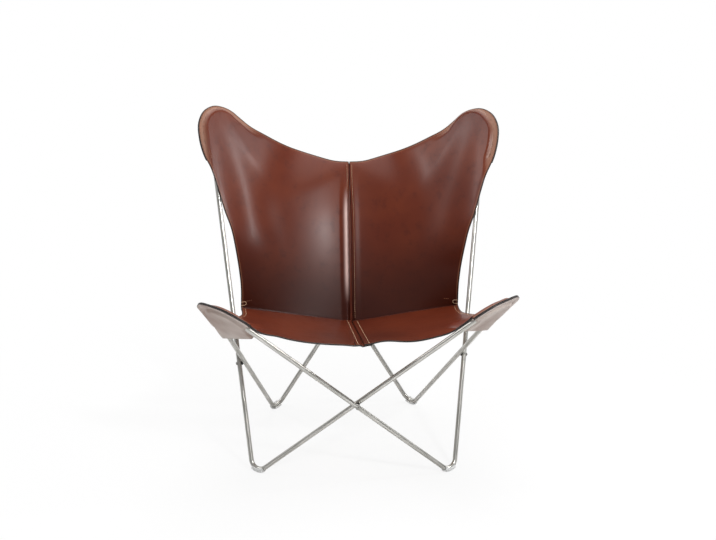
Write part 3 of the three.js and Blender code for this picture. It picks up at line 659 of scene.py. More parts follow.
# %% The rods under one corner
class Carrier:
    """The two rods under a corner of the leather: the plane over them, how firmly they hold
    the leather there, and how far a point lies outside the rods' middle line."""

    def __init__(self, name, top, side_foot, edge_foot, side, facing_way):
        self.name = name
        self.corner = turn_over(top, side)
        self.bend = Bend(self.corner, turn_over(side_foot, side), turn_over(edge_foot, side),
                         TOP_BEND_RADIUS)
        towards = np.sign(np.dot(self.bend.normal, facing_way))
        self.normal = self.bend.normal * towards
        self.level = np.dot(self.normal, self.corner) + LIFT
        self.margin = LOBE_MARGIN[name]

    def inside_rod(self, points, rod, other):
        """How far a point lies in from the middle line of one straight rod."""
        inwards = unit(other - rod * np.dot(other, rod))
        return (points - self.bend.centre) @ inwards + self.bend.radius

    def rod_hold(self, points, rod, other, lengths):
        """1 near the bend, less and less further along the rod or further in from it."""
        inside = self.inside_rod(points, rod, other)
        along = (points - self.bend.centre) @ rod
        beside = 1 - smoother(*HOLD_WIDTH[self.name], inside)
        return beside * (1 - smoother(*lengths[self.name], along))

    def sag(self, points, depth):
        """The depth times 1 - exp(-(inside / length)²) for both rods: nothing over either rod,
        and no crease there or between them."""
        first, second = self.bend.first, self.bend.second
        for rod, other in ((first, second), (second, first)):
            inside = np.maximum(self.inside_rod(points, rod, other), 0)
            depth = depth * (1 - np.exp(-(inside / WING_SAG_LENGTH) ** 2))
        return depth

    def flange_share(self, points):
        """1 round the bend, and less and less where the flange flattens out along the rods."""
        away = points - self.bend.centre
        along_side = 1 - smoother(*FLANGE_ENDS["side"], away @ self.bend.first)
        return along_side * (1 - smoother(*FLANGE_ENDS["edge"], away @ self.bend.second))

    def hold(self, points):
        """What both rods hold together: 1 less what neither holds."""
        by_side = self.rod_hold(points, self.bend.first, self.bend.second, HOLD_ALONG_SIDE)
        by_edge = self.rod_hold(points, self.bend.second, self.bend.first, HOLD_ALONG_EDGE)
        return 1 - (1 - by_side) * (1 - by_edge)

    def outside_rod(self, points):
        """Distance outside the middle line: from the arc at the bend, and from the straight
        rods beyond it."""
        away = points - self.bend.centre
        along = -(away @ self.bend.inward)
        sideways = away @ self.bend.across
        by_arc = np.hypot(along, sideways)
        by_rod = np.abs(sideways) * np.cos(self.bend.half) + along * np.sin(self.bend.half)
        at_arc = np.abs(np.arctan2(sideways, along)) < self.bend.reach
        return np.where(at_arc, by_arc, by_rod) - self.bend.radius


class Half:
    """The left or the right half of the sling, with the rods that carry it."""

    def __init__(self, place, side, back_loop, seat_loop):
        self.place = place
        self.side = side
        self.seat = Carrier("seat", seat_loop["front_top"], seat_loop["rear_foot"],
                            seat_loop["front_foot"], side, [0, 0, 1])
        self.back = Carrier("back", back_loop["rear_top"], back_loop["front_foot"],
                            back_loop["rear_foot"], side, [0, -1, 0])


HALVES = [Half("left", -1, LEFT_LOOP, RIGHT_LOOP), Half("right", 1, RIGHT_LOOP, LEFT_LOOP)]
print("the front corner's plane faces", HALVES[0].seat.normal.round(3))

# %% [markdown]
# The free shape is a sum of simple terms: a slope, a bow, and a wing that comes up with a power
# of the distance. It is mixed with the plane over the rods by the hold above. Each term can be
# set against the photograph alone, which the settings of a simulated cloth can't.

# %% The seat and the back as functions
def rounded(a):
    """The distance from the middle, with the crease at the middle rounded off."""
    return np.hypot(a, MIDDLE_ROUNDING) - MIDDLE_ROUNDING


def front_wave(half, r, share):
    """The front edge dips at the seam. The right half's stands up a little beside it and hangs
    lower further out: a bell less a weaker and wider one. All grow with the square of the share
    of the way to the front."""
    near = np.exp(-((r - SEAT_FRONT_WAVE_CENTRE) / SEAT_FRONT_WAVE_WIDTH) ** 2)
    far = np.exp(-((r - SEAT_FRONT_HANG_CENTRE) / SEAT_FRONT_HANG_WIDTH) ** 2)
    dip = SEAT_FRONT_DIP * np.exp(-(r / SEAT_FRONT_DIP_WIDTH) ** 2)
    wave = SEAT_FRONT_WAVE[half.place] * (near - SEAT_FRONT_HANG * far)
    return (wave - dip) * share ** 2


def seat_point(half, a, forward, held=False):
    """From the fold the seat rises straight to the front. Its front corners lift with powers
    of both distances until the rods' own plane takes over."""
    r = rounded(a)
    ahead = np.maximum(FOLD_BACK - FOLD_SWEEP * r + forward, 0)
    share = ahead / SEAT_WING_REACH
    wing = SEAT_WING_LIFT * (r / SEAT_WING_HALF_WIDTH) ** SEAT_WING_POWER * share ** 2
    free = FOLD_HEIGHT + FOLD_SLOPE * r * (1 - share) + SEAT_RISE * ahead + wing
    free = free + front_wave(half, r, share)
    carrier = half.seat
    normal = carrier.normal
    on_rods = (carrier.level - normal[0] * a + normal[1] * forward) / normal[2]
    hold = 1 if held else carrier.hold(np.stack([a, -forward, on_rods], axis=-1))
    return np.stack([a, -forward, mix(free, on_rods, hold)], axis=-1)


def back_point(half, a, height, held=False):
    """The back's middle leans back in a slight bow, its sides come forward with the square of
    a, and its foot runs into the fold. Its corners lie in the plane of the rods."""
    r = rounded(a)
    fold_height = FOLD_HEIGHT + FOLD_SLOPE * r

    def middle(z):
        """How far back the middle line is at a height: a lean and a bow."""
        return FOLD_BACK + BACK_LEAN * (z - FOLD_HEIGHT) + BACK_BOW * (z - FOLD_HEIGHT) ** 2

    fold = np.exp(-np.maximum(height - fold_height, 0) / BACK_FOLD_FADE)
    fold_forward = middle(fold_height) - (FOLD_BACK - FOLD_SWEEP * r)
    wing = BACK_WING_FORWARD * (r / BACK_WING_HALF_WIDTH) ** 2
    free = middle(height) - fold_forward * fold - wing * (1 - fold)
    carrier = half.back
    normal = carrier.normal
    on_rods = (carrier.level - normal[0] * a - normal[2] * height) / normal[1]
    hold = 1 if held else carrier.hold(np.stack([a, on_rods, height], axis=-1))
    return np.stack([a, mix(free, on_rods, hold), height], axis=-1)


# %% [markdown]
# ## The cut of the leather
#
# Each panel's outline is a smooth curve through a few points. Round the bend of the rods it is
# an arc with a margin for the sewn flange. Below that the points are given as shares of the way
# from the waist, or from the middle of the top or front edge, to the corner of the rods.

# %% Outlines
OUTLINE_SAMPLES = 400
CURVE_STEPS = 60


class Sheet:
    """The seat or the back: its formula and the points of its outlines."""

    def __init__(self, name, point, flat, waist, edge_middle, lobes, shares, pocket_shares):
        self.name = name
        self.point = point
        self.flat = flat
        self.waist = np.array(waist, float)
        self.edge_middle = np.array(edge_middle, float)
        self.lobes = lobes
        self.shares = shares
        self.pocket_shares = pocket_shares

    def place(self, half, flat, held=False):
        """The points of the formula at flat coordinates."""
        return self.point(half, flat[..., 0], flat[..., 1], held)

    def carrier(self, half):
        """The rods under this sheet's corner in one half."""
        return half.seat if self.name == "seat" else half.back

    def outline(self, half, which):
        """Evenly spaced flat points from the tip of the lobe to the waist or the middle. The
        halves aren't quite alike: each is shifted sideways, and the back's also up or down, by
        a few millimetres, less towards the middle."""
        carrier = self.carrier(half)
        bend = carrier.bend
        other = "edge" if which == "side" else "side"
        turns, margins = np.array([self.lobes[other][1], *self.lobes[which]]).T
        radii = (bend.radius + carrier.margin * margins)[:, None]
        beyond, *lobe = self.flat(bend.at(turns * bend.reach, radii))
        start = self.waist if which == "side" else self.edge_middle
        rest = mix(start, self.flat(carrier.corner), np.array(self.shares[which]))
        line = spaced(catmull_rom(np.vstack([*lobe, rest]), beyond))
        place = half.place
        wing = smooth(*WING_BEGINS, line[:, 0])
        shift = mix(SIDE_SHIFT_AT_WAIST[place], SIDE_SHIFT_AT_WING[place], wing)
        outer = smooth(*SIDE_SHIFT_GROWS, line[:, 0])
        line[:, 0] += shift * outer
        if self.name == "back":
            line[:, 1] += BACK_LIFT[place] * outer * smooth(*BACK_LIFT_GROWS, line[:, 1])
        return line

    def outlines(self, half):
        """The outlines of the side and of the edge."""
        return self.outline(half, "side"), self.outline(half, "edge")


def catmull_rom(points, beyond):
    """A smooth curve through the points. Between two of them it is a cubic whose slope at a
    point is half of the way between that point's neighbours. The first point's neighbour
    beyond it is given, so that two curves can meet there without a corner."""
    before, start, end, after = (
        np.vstack([beyond, points[:-2]]), points[:-1], points[1:],
        np.vstack([points[2:], points[-1:]]))
    t = np.linspace(0, 1, CURVE_STEPS, endpoint=False)[None, :, None]
    m0, m1 = (end - before)[:, None] / 2, (after - start)[:, None] / 2
    start, end = start[:, None], end[:, None]
    curve = (2 * (start - end) + m0 + m1) * t ** 3
    curve = curve + (3 * (end - start) - 2 * m0 - m1) * t ** 2 + m0 * t + start
    return np.vstack([curve.reshape(-1, points.shape[1]), points[-1:]])


def spaced(curve):
    """Points at equal steps along a curve."""
    way = walked(curve)
    return read_off(curve, way, np.linspace(0, way[-1], OUTLINE_SAMPLES + 1))


def pick(points, shares):
    """Points at shares of the way along evenly spaced points."""
    at = np.clip(shares, 0, 1) * (len(points) - 1)
    return read_off(points, np.arange(len(points)), at)


# Each lobe point is a share of the bend's reach and a share of the margin, and each of the
# others is a share of the way across and up, the last one being the waist or the middle.
SEAT = Sheet(
    "seat", seat_point, lambda points: points[..., [0, 1]] * [1, -1],
    waist=(WAIST_HALF_WIDTH, -WAIST_BACK), edge_middle=(0, SEAT_FRONT_FORWARD),
    lobes={"side": [(0, 0.78), (-0.41, 1.03), (-0.83, 1.08), (-1.24, 1.04)],
           "edge": [(0, 0.78), (0.38, 0.8), (0.77, 0.82), (1.12, 0.93)]},
    shares={"side": [(0.815, 0.63), (0.345, 0.41), (-0.04, 0.212), (0, 0)],
            "edge": [(0.712, 0.59), (0.482, 0.305), (0.25, 0.07), (0, 0)]},
    pocket_shares={"side": 0.445, "edge": 0.37})
BACK = Sheet(
    "back", back_point, lambda points: points[..., [0, 2]],
    waist=(WAIST_HALF_WIDTH, WAIST_HEIGHT), edge_middle=(0, BACK_DIP_HEIGHT),
    lobes={"side": [(0, 0.966), (-0.38, 0.987), (-0.77, 0.988), (-1.15, 1.036)],
           "edge": [(0, 0.966), (0.36, 0.92), (0.71, 1.012), (1.04, 1.241)]},
    shares={"side": [(1.021, 0.715), (0.748, 0.593), (0.476, 0.461), (0.205, 0.341),
                     (0.007, 0.13), (0, 0)],
            "edge": [(0.627, 0.379), (0.409, 0.157), (0.15, 0.02), (0, 0)]},
    pocket_shares={"side": 0.27, "edge": 0.36})


# %% [markdown]
# ## From the cut to a thick sheet
#
# Rows run from the side outline to the edge outline, and past the corner of the edge to the
# middle line. On each row the points lie closer together at both ends, where the flange needs
# them. A grid of its own rows follows the cut exactly, while a square grid would have to be
# trimmed at the outline and would leave a ragged edge.

# %% Grids of the panels and pockets
PANEL_ROWS = 190
EDGE_ROWS_SHARE = 0.6
EDGE_ROW_POWER = 1.1
POCKET_ROWS = 90
COLUMNS = 110
COLUMN_CROWDING = 0.62
EDGE_ROUND = 0.9
BACK_FOOT_DEPTH = 6
SEAT_SEAM_HALF_GAP = 1.1
SEAM_HALF_GAP_TOP = 0.8
SEAM_HALF_GAP = 3.4
SEAM_OPENS = (25, 150)
POCKET_MOUTH_BULGE = {"seat": 1, "back": 6}


def column_shares():
    """Shares from 0 to 1 across the columns, closer together at both ends: a mix of even steps
    and of half a cosine wave."""
    even = np.linspace(0, 1, COLUMNS)[None, :, None]
    return mix(even, (1 - np.cos(np.pi * even)) / 2, COLUMN_CROWDING)


def fold_end(sheet, a):
    """Where the sheet ends at the fold, in its own second flat coordinate. The seat stops at
    the face of the back, and the back goes on a little way below the seat."""
    if sheet is SEAT:
        return -(FOLD_BACK - FOLD_SWEEP * rounded(a)) + LEATHER / 2
    return FOLD_HEIGHT + FOLD_SLOPE * rounded(a) - BACK_FOOT_DEPTH


def seam_half_gap(sheet, b):
    """Half of the gap at the middle seam. In the back it opens below the sewn top."""
    if sheet is SEAT:
        return SEAT_SEAM_HALF_GAP + 0 * b
    opening = smooth(*SEAM_OPENS, BACK_DIP_HEIGHT - b)
    return mix(SEAM_HALF_GAP_TOP, SEAM_HALF_GAP, opening)


def panel_grid(sheet, half):
    """Flat coordinates of a panel, rows by columns by two."""
    side, edge = sheet.outlines(half)
    shares = np.linspace(0, 1, PANEL_ROWS)
    on_edge = pick(edge, (shares / EDGE_ROWS_SHARE) ** EDGE_ROW_POWER)
    down = np.clip((shares - EDGE_ROWS_SHARE) / (1 - EDGE_ROWS_SHARE), 0, 1)
    on_edge[:, 1] = mix(on_edge[:, 1], fold_end(sheet, 0), down)
    on_edge[:, 0] = np.maximum(on_edge[:, 0], seam_half_gap(sheet, on_edge[:, 1]) + EDGE_ROUND)
    on_side = pick(side, shares)
    on_side[-1, 1] = fold_end(sheet, on_side[-1, 0])
    grid = mix(on_side[:, None], on_edge[:, None], column_shares())
    grid[-1, :, 1] = fold_end(sheet, grid[-1, :, 0])
    return grid


def pocket_grid(sheet, half):
    """Flat coordinates of a pocket, whose mouth bulges outwards a little."""
    side, edge = sheet.outlines(half)
    shares = np.linspace(0, 1, POCKET_ROWS)
    on_side = pick(side, shares * sheet.pocket_shares["side"])
    on_edge = pick(edge, shares * sheet.pocket_shares["edge"])
    across = column_shares()
    outward = unit((on_side[-1] + on_edge[-1]) / 2 - on_side[0])
    bulge = POCKET_MOUTH_BULGE[sheet.name] * 4 * across * (1 - across)
    straight = mix(on_side[:, None], on_edge[:, None], across)
    return straight + outward * bulge * shares[:, None, None] ** 3


def formula_normals(sheet, half, flat):
    """The sheet's normals from the slopes of its formula, over a step of a leather's thickness
    each way. They face the sitter."""
    across, along = (sheet.place(half, flat + step) - sheet.place(half, flat - step)
                     for step in LEATHER * np.eye(2))
    return unit(np.cross(along, across)) * (1 if sheet is SEAT else -1)


def outline_distance(points, line):
    """The distance of each point of a grid to a line of points."""
    rows = [np.linalg.norm(row[:, None] - line[None], axis=-1).min(axis=1) for row in points]
    return np.array(rows)


# %% [markdown]
# The middle of the leather doesn't lie on the formula everywhere. Its level says how far off it
# is: the leather drops where panel and pocket meet in the sewn flange, and sags a little inside
# the rods, where nothing is under it.

# %% Levels over the rods
def level_over_rods(sheet, half, points, edge_distance):
    """How far the panel's middle lies off its formula, how far a point is out on the flange,
    0 to 1, and the same where the rods hold the leather. Over the rods the first is 0. In the
    sewn flange the panel drops to the pocket and hangs down a little, and inside the rods it
    sags. All fade where the rods let go of it."""
    carrier = sheet.carrier(half)
    under = points - carrier.normal * LIFT
    outside = carrier.outside_rod(under)
    outward = np.minimum(outside, carrier.margin - edge_distance)
    out = smooth(FLANGE_INNER, FLANGE_OUTER, outward)
    droop = FLANGE_DROOP[sheet.name] * smooth(FLANGE_INNER, carrier.margin, outward)
    sag = carrier.sag(under, WING_SAG[sheet.name])
    held = carrier.hold(under)
    flange = held * carrier.flange_share(under)
    level = -held * sag - flange * ((LIFT - FLANGE_LIFT) * out + droop)
    # The last share also lays a paler colour on the flange: partly burnishing, partly a painted
    # sheen.
    return level, out, out * flange


def to_world(points, half):
    """Turns a half to its side, and shifts its middle to the seam, which isn't central."""
    a = points[..., 0]
    bulge = np.maximum(1 - (a / SEAM_SHIFT_HALF_WIDTH) ** 2, 0) ** 2
    world = turn_over(points, half.side)
    world[..., 0] += SEAM_SIDE_SHIFT * bulge
    return world + PART_SHIFT


# %% [markdown]
# The sheet gets its thickness from its own normals. Its cut edge is a few rows of narrow quads
# with a slight round, because the real edge is burnished and painted. A Solidify modifier would
# do most of this, also with a thickness that is pared down toward the edge, but not the round.

# %% Thick sheets
TIP_ROWS = (1, 5)
EDGE_SQUARENESS = 0.6
EDGE_RINGS = 3
EDGE_STEPS_IN = 2


def grid_normals(points, fallback):
    """Normals of a grid from its own differences, turned to the fallback's side. The first
    rows, where the grid shrinks to the tip, keep the fallback."""
    normals = unit(np.cross(np.gradient(points, axis=0), np.gradient(points, axis=1)))
    normals = normals * np.sign((normals * fallback).sum(axis=-1, keepdims=True))
    first, last = TIP_ROWS
    share = np.clip((np.arange(len(points)) - first) / (last - first), 0, 1)[:, None, None]
    return unit(mix(fallback, normals, share))


def boundary(rows, columns, closed_tip):
    """Row and column numbers once round the edge of a grid."""
    down = [(r, 0) for r in range(1 if closed_tip else 0, rows)]
    across = [(rows - 1, c) for c in range(1, columns)]
    up = [(r, columns - 1) for r in range(rows - 2, 0, -1)]
    top = [(0, 0)] if closed_tip else [(0, c) for c in range(columns - 1, 0, -1)]
    return np.array(down + across + up + top).T


def thick_sheet(name, middle, normals, thickness, materials, attributes, closed_tip=True):
    """A closed mesh round a grid of middle points: one layer half a thickness along the
    normals, one half a thickness against them, and a rounded rim between."""
    rows, columns = middle.shape[:2]
    half_thickness = np.broadcast_to(thickness, (rows, columns))[..., None] / 2
    numbers = np.arange(rows * columns).reshape(rows, columns)
    if closed_tip:
        numbers[0] = numbers[0, 0]
    count = rows * columns
    rim_rows, rim_columns = boundary(rows, columns, closed_tip)
    line = middle[rim_rows, rim_columns]
    line_normals = normals[rim_rows, rim_columns]
    tangents = unit(np.roll(line, -1, axis=0) - np.roll(line, 1, axis=0))
    outward = np.cross(tangents, line_normals)
    inner = middle[np.clip(rim_rows, EDGE_STEPS_IN, rows - 1 - EDGE_STEPS_IN),
                   np.clip(rim_columns, EDGE_STEPS_IN, columns - 1 - EDGE_STEPS_IN)]
    outward = outward * np.sign(((line - inner) * outward).sum(axis=1).mean())
    angles = np.linspace(np.pi / 2, -np.pi / 2, EDGE_RINGS + 2)[1:-1]
    line_half = half_thickness[rim_rows, rim_columns]
    rings = [line + outward * EDGE_ROUND * np.cos(angle) ** EDGE_SQUARENESS
             + line_normals * line_half * np.sin(angle) for angle in angles]
    points = np.concatenate([
        (middle + normals * half_thickness).reshape(-1, 3),
        (middle - normals * half_thickness).reshape(-1, 3), *rings])
    rim_numbers = numbers[rim_rows, rim_columns]
    ring_numbers = 2 * count + np.arange(EDGE_RINGS * len(line)).reshape(EDGE_RINGS, -1)
    bands = np.vstack([rim_numbers, ring_numbers, rim_numbers + count])
    bands = np.column_stack([bands, bands[:, :1]])
    cells = grid_faces(numbers)
    up = looks_along(points, cells[len(cells) // 2], normals[rows // 2, columns // 2])
    order = 1 if up else -1
    upper, lower = cells[:, ::order], (cells + count)[:, ::-order]
    rim = grid_faces(bands)[:, ::-order]
    faces = np.vstack([upper, lower, rim])
    face_materials = np.repeat([0, 1, 2], [len(upper), len(lower), len(rim)])
    spread = {key: np.concatenate([values.ravel(), values.ravel(),
                                   np.zeros(EDGE_RINGS * len(line))])
              for key, values in attributes.items()}
    return make_piece(name, points, faces, materials, face_materials, spread)


# %% [markdown]
# ## Leather
#
# The leather is vegetable-tanned saddle leather in a chestnut brown, waxed and polished. Its
# colour clouds slowly from a redder to a darker brown, with faint mottling, and fine pores
# break up the gloss. The cut edges are burnished dark with a painted highlight on the bevel
# beside them, and a scored line runs under the stitches. Painted shade darkens the fold, the
# lower back and the middle of the seat's front, a painted highlight lightens the roll at the
# seam, and the flange is paler, partly from burnishing and partly as a painted sheen. The
# distances to the edge and to the stitches are attributes of the mesh, and so are the painted
# shade and highlights, so the pattern follows the panel and not the room.

# %% Leather materials
EDGE_DARK_MM = 5
BEVEL_SHEEN_STARTS_MM = (1.5, 2.5)
BEVEL_SHEEN_ENDS_MM = (4, 6)
SCORE_HALF_WIDTH_MM = 1.3
NO_SCORE_MM = 90


def chestnut_leather(nodes):
    """Two browns in clouds, with one tone after another laid over them by its share: mottling,
    painted shade, the flange's paler tone, a painted highlight on the seam's roll and one on
    the bevel. Then the burnished edge and the scored line."""
    place = nodes.object_place()
    clouds = nodes.noise(place, 5, detail=3, roughness=0.55)
    mottling = nodes.noise(place, 38, detail=4, roughness=0.6)
    pores = nodes.noise(place, 900, detail=3, roughness=0.7)
    creases = nodes.noise(place, 110, detail=5, roughness=0.65)
    edge_mm = nodes.attribute("edge_mm")
    edge = edge_mm.clamped(0, EDGE_DARK_MM)
    bevel_sheen = edge_mm.clamped(*BEVEL_SHEEN_STARTS_MM) - edge_mm.clamped(*BEVEL_SHEEN_ENDS_MM)
    score = nodes.attribute("score_mm").clamped(0, SCORE_HALF_WIDTH_MM)
    base = nodes.mix(colour(90, 34, 17), colour(106, 45, 23), clouds.clamped(0.3, 0.7))
    # Past the mottling, these tones are painted shade, a paler flange that is partly burnishing
    # and partly a painted sheen, and painted highlights on the seam's roll and on the bevel.
    layers = [((74, 27, 15), mottling.clamped(0.5, 0.75) * 0.5),
              ((45, 16, 10), nodes.attribute("painted_shade") * 0.9),
              ((176, 140, 120), nodes.attribute("flange") * 0.5),
              ((230, 200, 192), nodes.attribute("painted_highlight") * 0.85),
              ((164, 112, 84), bevel_sheen * 0.35)]
    for tone, share in layers:
        base = nodes.mix(base, colour(*tone), share)
    base = nodes.mix(colour(30, 14, 10), base, 0.3 + 0.7 * edge)
    base = nodes.mix(colour(42, 18, 12), base, 0.35 + 0.65 * score)
    roughness = 0.25 + clouds * 0.08 + mottling * 0.08 + pores * 0.05
    grain = pores * 0.35 + creases * 0.65
    fine = nodes.bump(grain, 0.00012, 0.5)
    return {
        "Base Color": base,
        "Roughness": roughness,
        "Normal": nodes.bump(score, 0.0006, 0.8, normal=fine),
    }


def flesh_leather(nodes):
    """Pale clouds with a fine darker nap."""
    place = nodes.object_place()
    nap = nodes.noise(place, 600, detail=4, roughness=0.7)
    clouds = nodes.noise(place, 9, detail=3)
    base = nodes.mix(colour(142, 117, 104), colour(190, 178, 170), clouds.clamped(0.25, 0.75))
    base = nodes.mix(base, colour(136, 108, 94), nap.clamped(0.45, 0.8) * 0.4)
    return {
        "Base Color": base,
        "Roughness": 0.62 + nap * 0.2,
        "Normal": nodes.bump(nap, 0.0003, 0.5),
    }


LEATHER_FACE = finish_material("chestnut_leather", chestnut_leather, coat_weight=0.06,
                               coat_roughness=0.22, specular_ior_level=0.22)
LEATHER_FLESH = finish_material("flesh_side", flesh_leather, sheen_weight=0.25,
                                sheen_roughness=0.5)
EDGE_PAINT = finish_material(
    "edge_paint", speckled((18, 13, 12), (36, 24, 21), 260, (0.34, 0.2), 0.0004, 0.5))
LEATHER_SIDES = [LEATHER_FACE, LEATHER_FLESH, EDGE_PAINT]

# %% [markdown]
# ## The middle seam
#
# The two halves meet over a narrow strip behind them. The left half's edge rolls forward before
# it turns back into the seam, and catches the light there, while the right half lies flatter.
# The roll is one more height on top of the sheet: it rises to a crest a few millimetres from the
# seam and falls steeply at the edge, and it fades out towards the top, where the halves are
# sewn flat.

# %% The roll at the seam
SEAM_CREST = {"left": 6.5, "right": 1.0}
SEAM_DROP = {"left": 3.5, "right": 2.5}
SEAM_CREST_AT = 8
SEAM_CREST_END = 26
SEAM_TOP_FADE = (15, 110)
SEAT_SEAM_SHARE = 0.3


def seam_roll(sheet, half, flat):
    """The crest's height times its rise and fall, less the drop beside the seam."""
    a, b = flat[..., 0], flat[..., 1]
    from_seam = a - seam_half_gap(sheet, b)
    rise = smooth(0, SEAM_CREST_AT, from_seam)
    fall = 1 - smooth(SEAM_CREST_AT, SEAM_CREST_END, from_seam)
    height = SEAM_CREST[half.place] * rise * fall - SEAM_DROP[half.place] * (1 - rise)
    if sheet is BACK:
        return height * smooth(*SEAM_TOP_FADE, BACK_DIP_HEIGHT - b)
    return height * SEAT_SEAM_SHARE


# %% [markdown]
# Stitches run a fixed distance in from a cut edge, as a pricking wheel marks them. The line is
# moved in on the curved sheet and not on its flat drawing, so it keeps its distance where the
# leather is steep.

# %% Rows of stitches, in flat coordinates
FLANGE_ROW_INSET = 12
SEAT_SIDE_ROW_INSET = 10
SEAT_SIDE_ROW_ENDS = (20, 8)
SEAM_ROW = {("back", "left"): 5.5, ("back", "right"): 6.0,
            ("seat", "left"): 12.5, ("seat", "right"): 12.5}
ROW_END = 7
WAIST_ROW_HEIGHT = 16
WAIST_ROW_INSETS = (19, 34)
WAIST_ROW_POINTS = 20
INNER_A = 60
INNER_SHARE = 0.9


def inset(sheet, half, line, distance):
    """A flat line moved inwards on the sheet itself: square to the line and to the sheet, and
    to the side on which a point well inside the panel lies."""
    points, normals = sheet.place(half, line), formula_normals(sheet, half, line)
    inwards = unit(np.cross(normals, np.gradient(points, axis=0)))
    inner = sheet.place(half, np.array([INNER_A, sheet.edge_middle[1] * INNER_SHARE]))
    inwards = inwards * np.sign(((inner - points) * inwards).sum(axis=-1).mean())
    return sheet.flat(points + inwards * distance)


def stitch_rows(sheet, half):
    """The rows of one panel: round the pocket, down the seam, and at the waist."""
    side, edge = sheet.outlines(half)
    last_side = int(sheet.pocket_shares["side"] * OUTLINE_SAMPLES)
    last_edge = int(sheet.pocket_shares["edge"] * OUTLINE_SAMPLES)
    round_pocket = np.vstack([side[last_side:0:-1], edge[:last_edge]])
    rows = [inset(sheet, half, round_pocket, FLANGE_ROW_INSET)]
    start = sheet.edge_middle[1] - ROW_END
    end = fold_end(sheet, 0) + 2 * ROW_END
    b = mix(start, end, np.linspace(0, 1, OUTLINE_SAMPLES))
    away = SEAM_ROW[sheet.name, half.place]
    rows.append(np.stack([seam_half_gap(sheet, b) + away, b], axis=-1))
    if sheet is SEAT:
        first, last = SEAT_SIDE_ROW_ENDS
        rows.append(inset(sheet, half, side[last_side + first:-last], SEAT_SIDE_ROW_INSET))
    else:
        first, last = WAIST_ROW_INSETS
        a = np.linspace(WAIST_HALF_WIDTH - last, WAIST_HALF_WIDTH - first, WAIST_ROW_POINTS)
        rows.append(np.stack([a, WAIST_HEIGHT + WAIST_ROW_HEIGHT + 0 * a], axis=-1))
    return rows


# %% [markdown]
# Painted shade darkens the leather in the fold, on the lower back and at the middle of the
# seat's front, and a painted highlight lightens the roll at the seam. Where that is gets worked
# out on the grid as shares from 0 to 1, which the material reads as attributes, because a noise
# can't know where the fold is.

# %% Painted shade, painted highlight and pared places
POCKET_SEWN = (3, 13)
SKIVED_SHARE = {"seat": 1.0, "back": 0.7, "pocket": 0.6}
SKIVED_WIDTH = 14
PAINTED_HIGHLIGHT_AT = 9
PAINTED_HIGHLIGHT_WIDTH = 4.5
PAINTED_HIGHLIGHT_LOW = (330, 420)
PAINTED_HIGHLIGHT_HIGH = (560, 640)
PAINTED_SHADE_BACK = (20, 285)
PAINTED_SHADE_BACK_SHARE = 0.85
PAINTED_SHADE_FOLD = 16
PAINTED_SHADE_SEAT_FOLD_SHARE = 0.8
PAINTED_SHADE_SEAT_FRONT = (120, 330)
PAINTED_SHADE_SEAT_MIDDLE = (60, 200)
PAINTED_SHADE_SEAT_FRONT_SHARE = 0.45


def skived(kind, edge_distance):
    """The leather's thickness, pared down toward the cut edge to the share of its kind."""
    return LEATHER * mix(SKIVED_SHARE[kind], 1, smooth(0, SKIVED_WIDTH, edge_distance))


def painted_shade(sheet, flat):
    """Where painted shade darkens the leather, 0 to 1: the lower part of the back, most of all
    in the fold, and a narrow band of the seat at the fold and the middle of its front."""
    above = np.abs(flat[..., 1] - fold_end(sheet, flat[..., 0]))
    off_fold = smooth(0, PAINTED_SHADE_FOLD, above)
    if sheet is SEAT:
        middle = 1 - smooth(*PAINTED_SHADE_SEAT_MIDDLE, flat[..., 0])
        front = middle * smooth(*PAINTED_SHADE_SEAT_FRONT, above)
        return PAINTED_SHADE_SEAT_FOLD_SHARE * (1 - off_fold) + PAINTED_SHADE_SEAT_FRONT_SHARE * front
    return 1 - mix(off_fold, smoother(*PAINTED_SHADE_BACK, above), PAINTED_SHADE_BACK_SHARE)


def painted_highlight(sheet, half, flat):
    """Where a painted highlight lightens the roll beside the left half's seam, 0 to 1: a bell
    across the seam, fading in and out along it."""
    a, b = flat[..., 0], flat[..., 1]
    if sheet is SEAT or half.place == "right":
        return 0 * a
    across = np.exp(-((a - seam_half_gap(sheet, b) - PAINTED_HIGHLIGHT_AT) / PAINTED_HIGHLIGHT_WIDTH) ** 2)
    return across * smooth(*PAINTED_HIGHLIGHT_LOW, b) * (1 - smooth(*PAINTED_HIGHLIGHT_HIGH, b))


# %% [markdown]
# ## Panels and pockets
#
# Two functions make the four panels and the four pockets. A panel is the formula plus its level.
# A pocket lies under the rods inside them, and right under its panel in the flange, where both
# are sewn together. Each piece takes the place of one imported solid.

# %% Panels and pockets
def row_distance(sheet, half, points, rows):
    """The distance of each point to the nearest row of stitches, of which every second point
    is enough."""
    lines = [sheet.place(half, row) for row in rows]
    return outline_distance(points, np.vstack(lines)[::2])


def panel_surface(sheet, half, flat):
    """Middle points of the panel's leather in the half's own space, their normals, how far
    out on the flange each point is, and its distance from the cut edge."""
    points, normals = sheet.place(half, flat), formula_normals(sheet, half, flat)
    line = sheet.place(half, np.vstack(sheet.outlines(half)))
    edge_distance = outline_distance(points, line)
    level, out, flange = level_over_rods(sheet, half, points, edge_distance)
    level = level + seam_roll(sheet, half, flat)
    return points + normals * level[..., None], normals, (out, flange), edge_distance


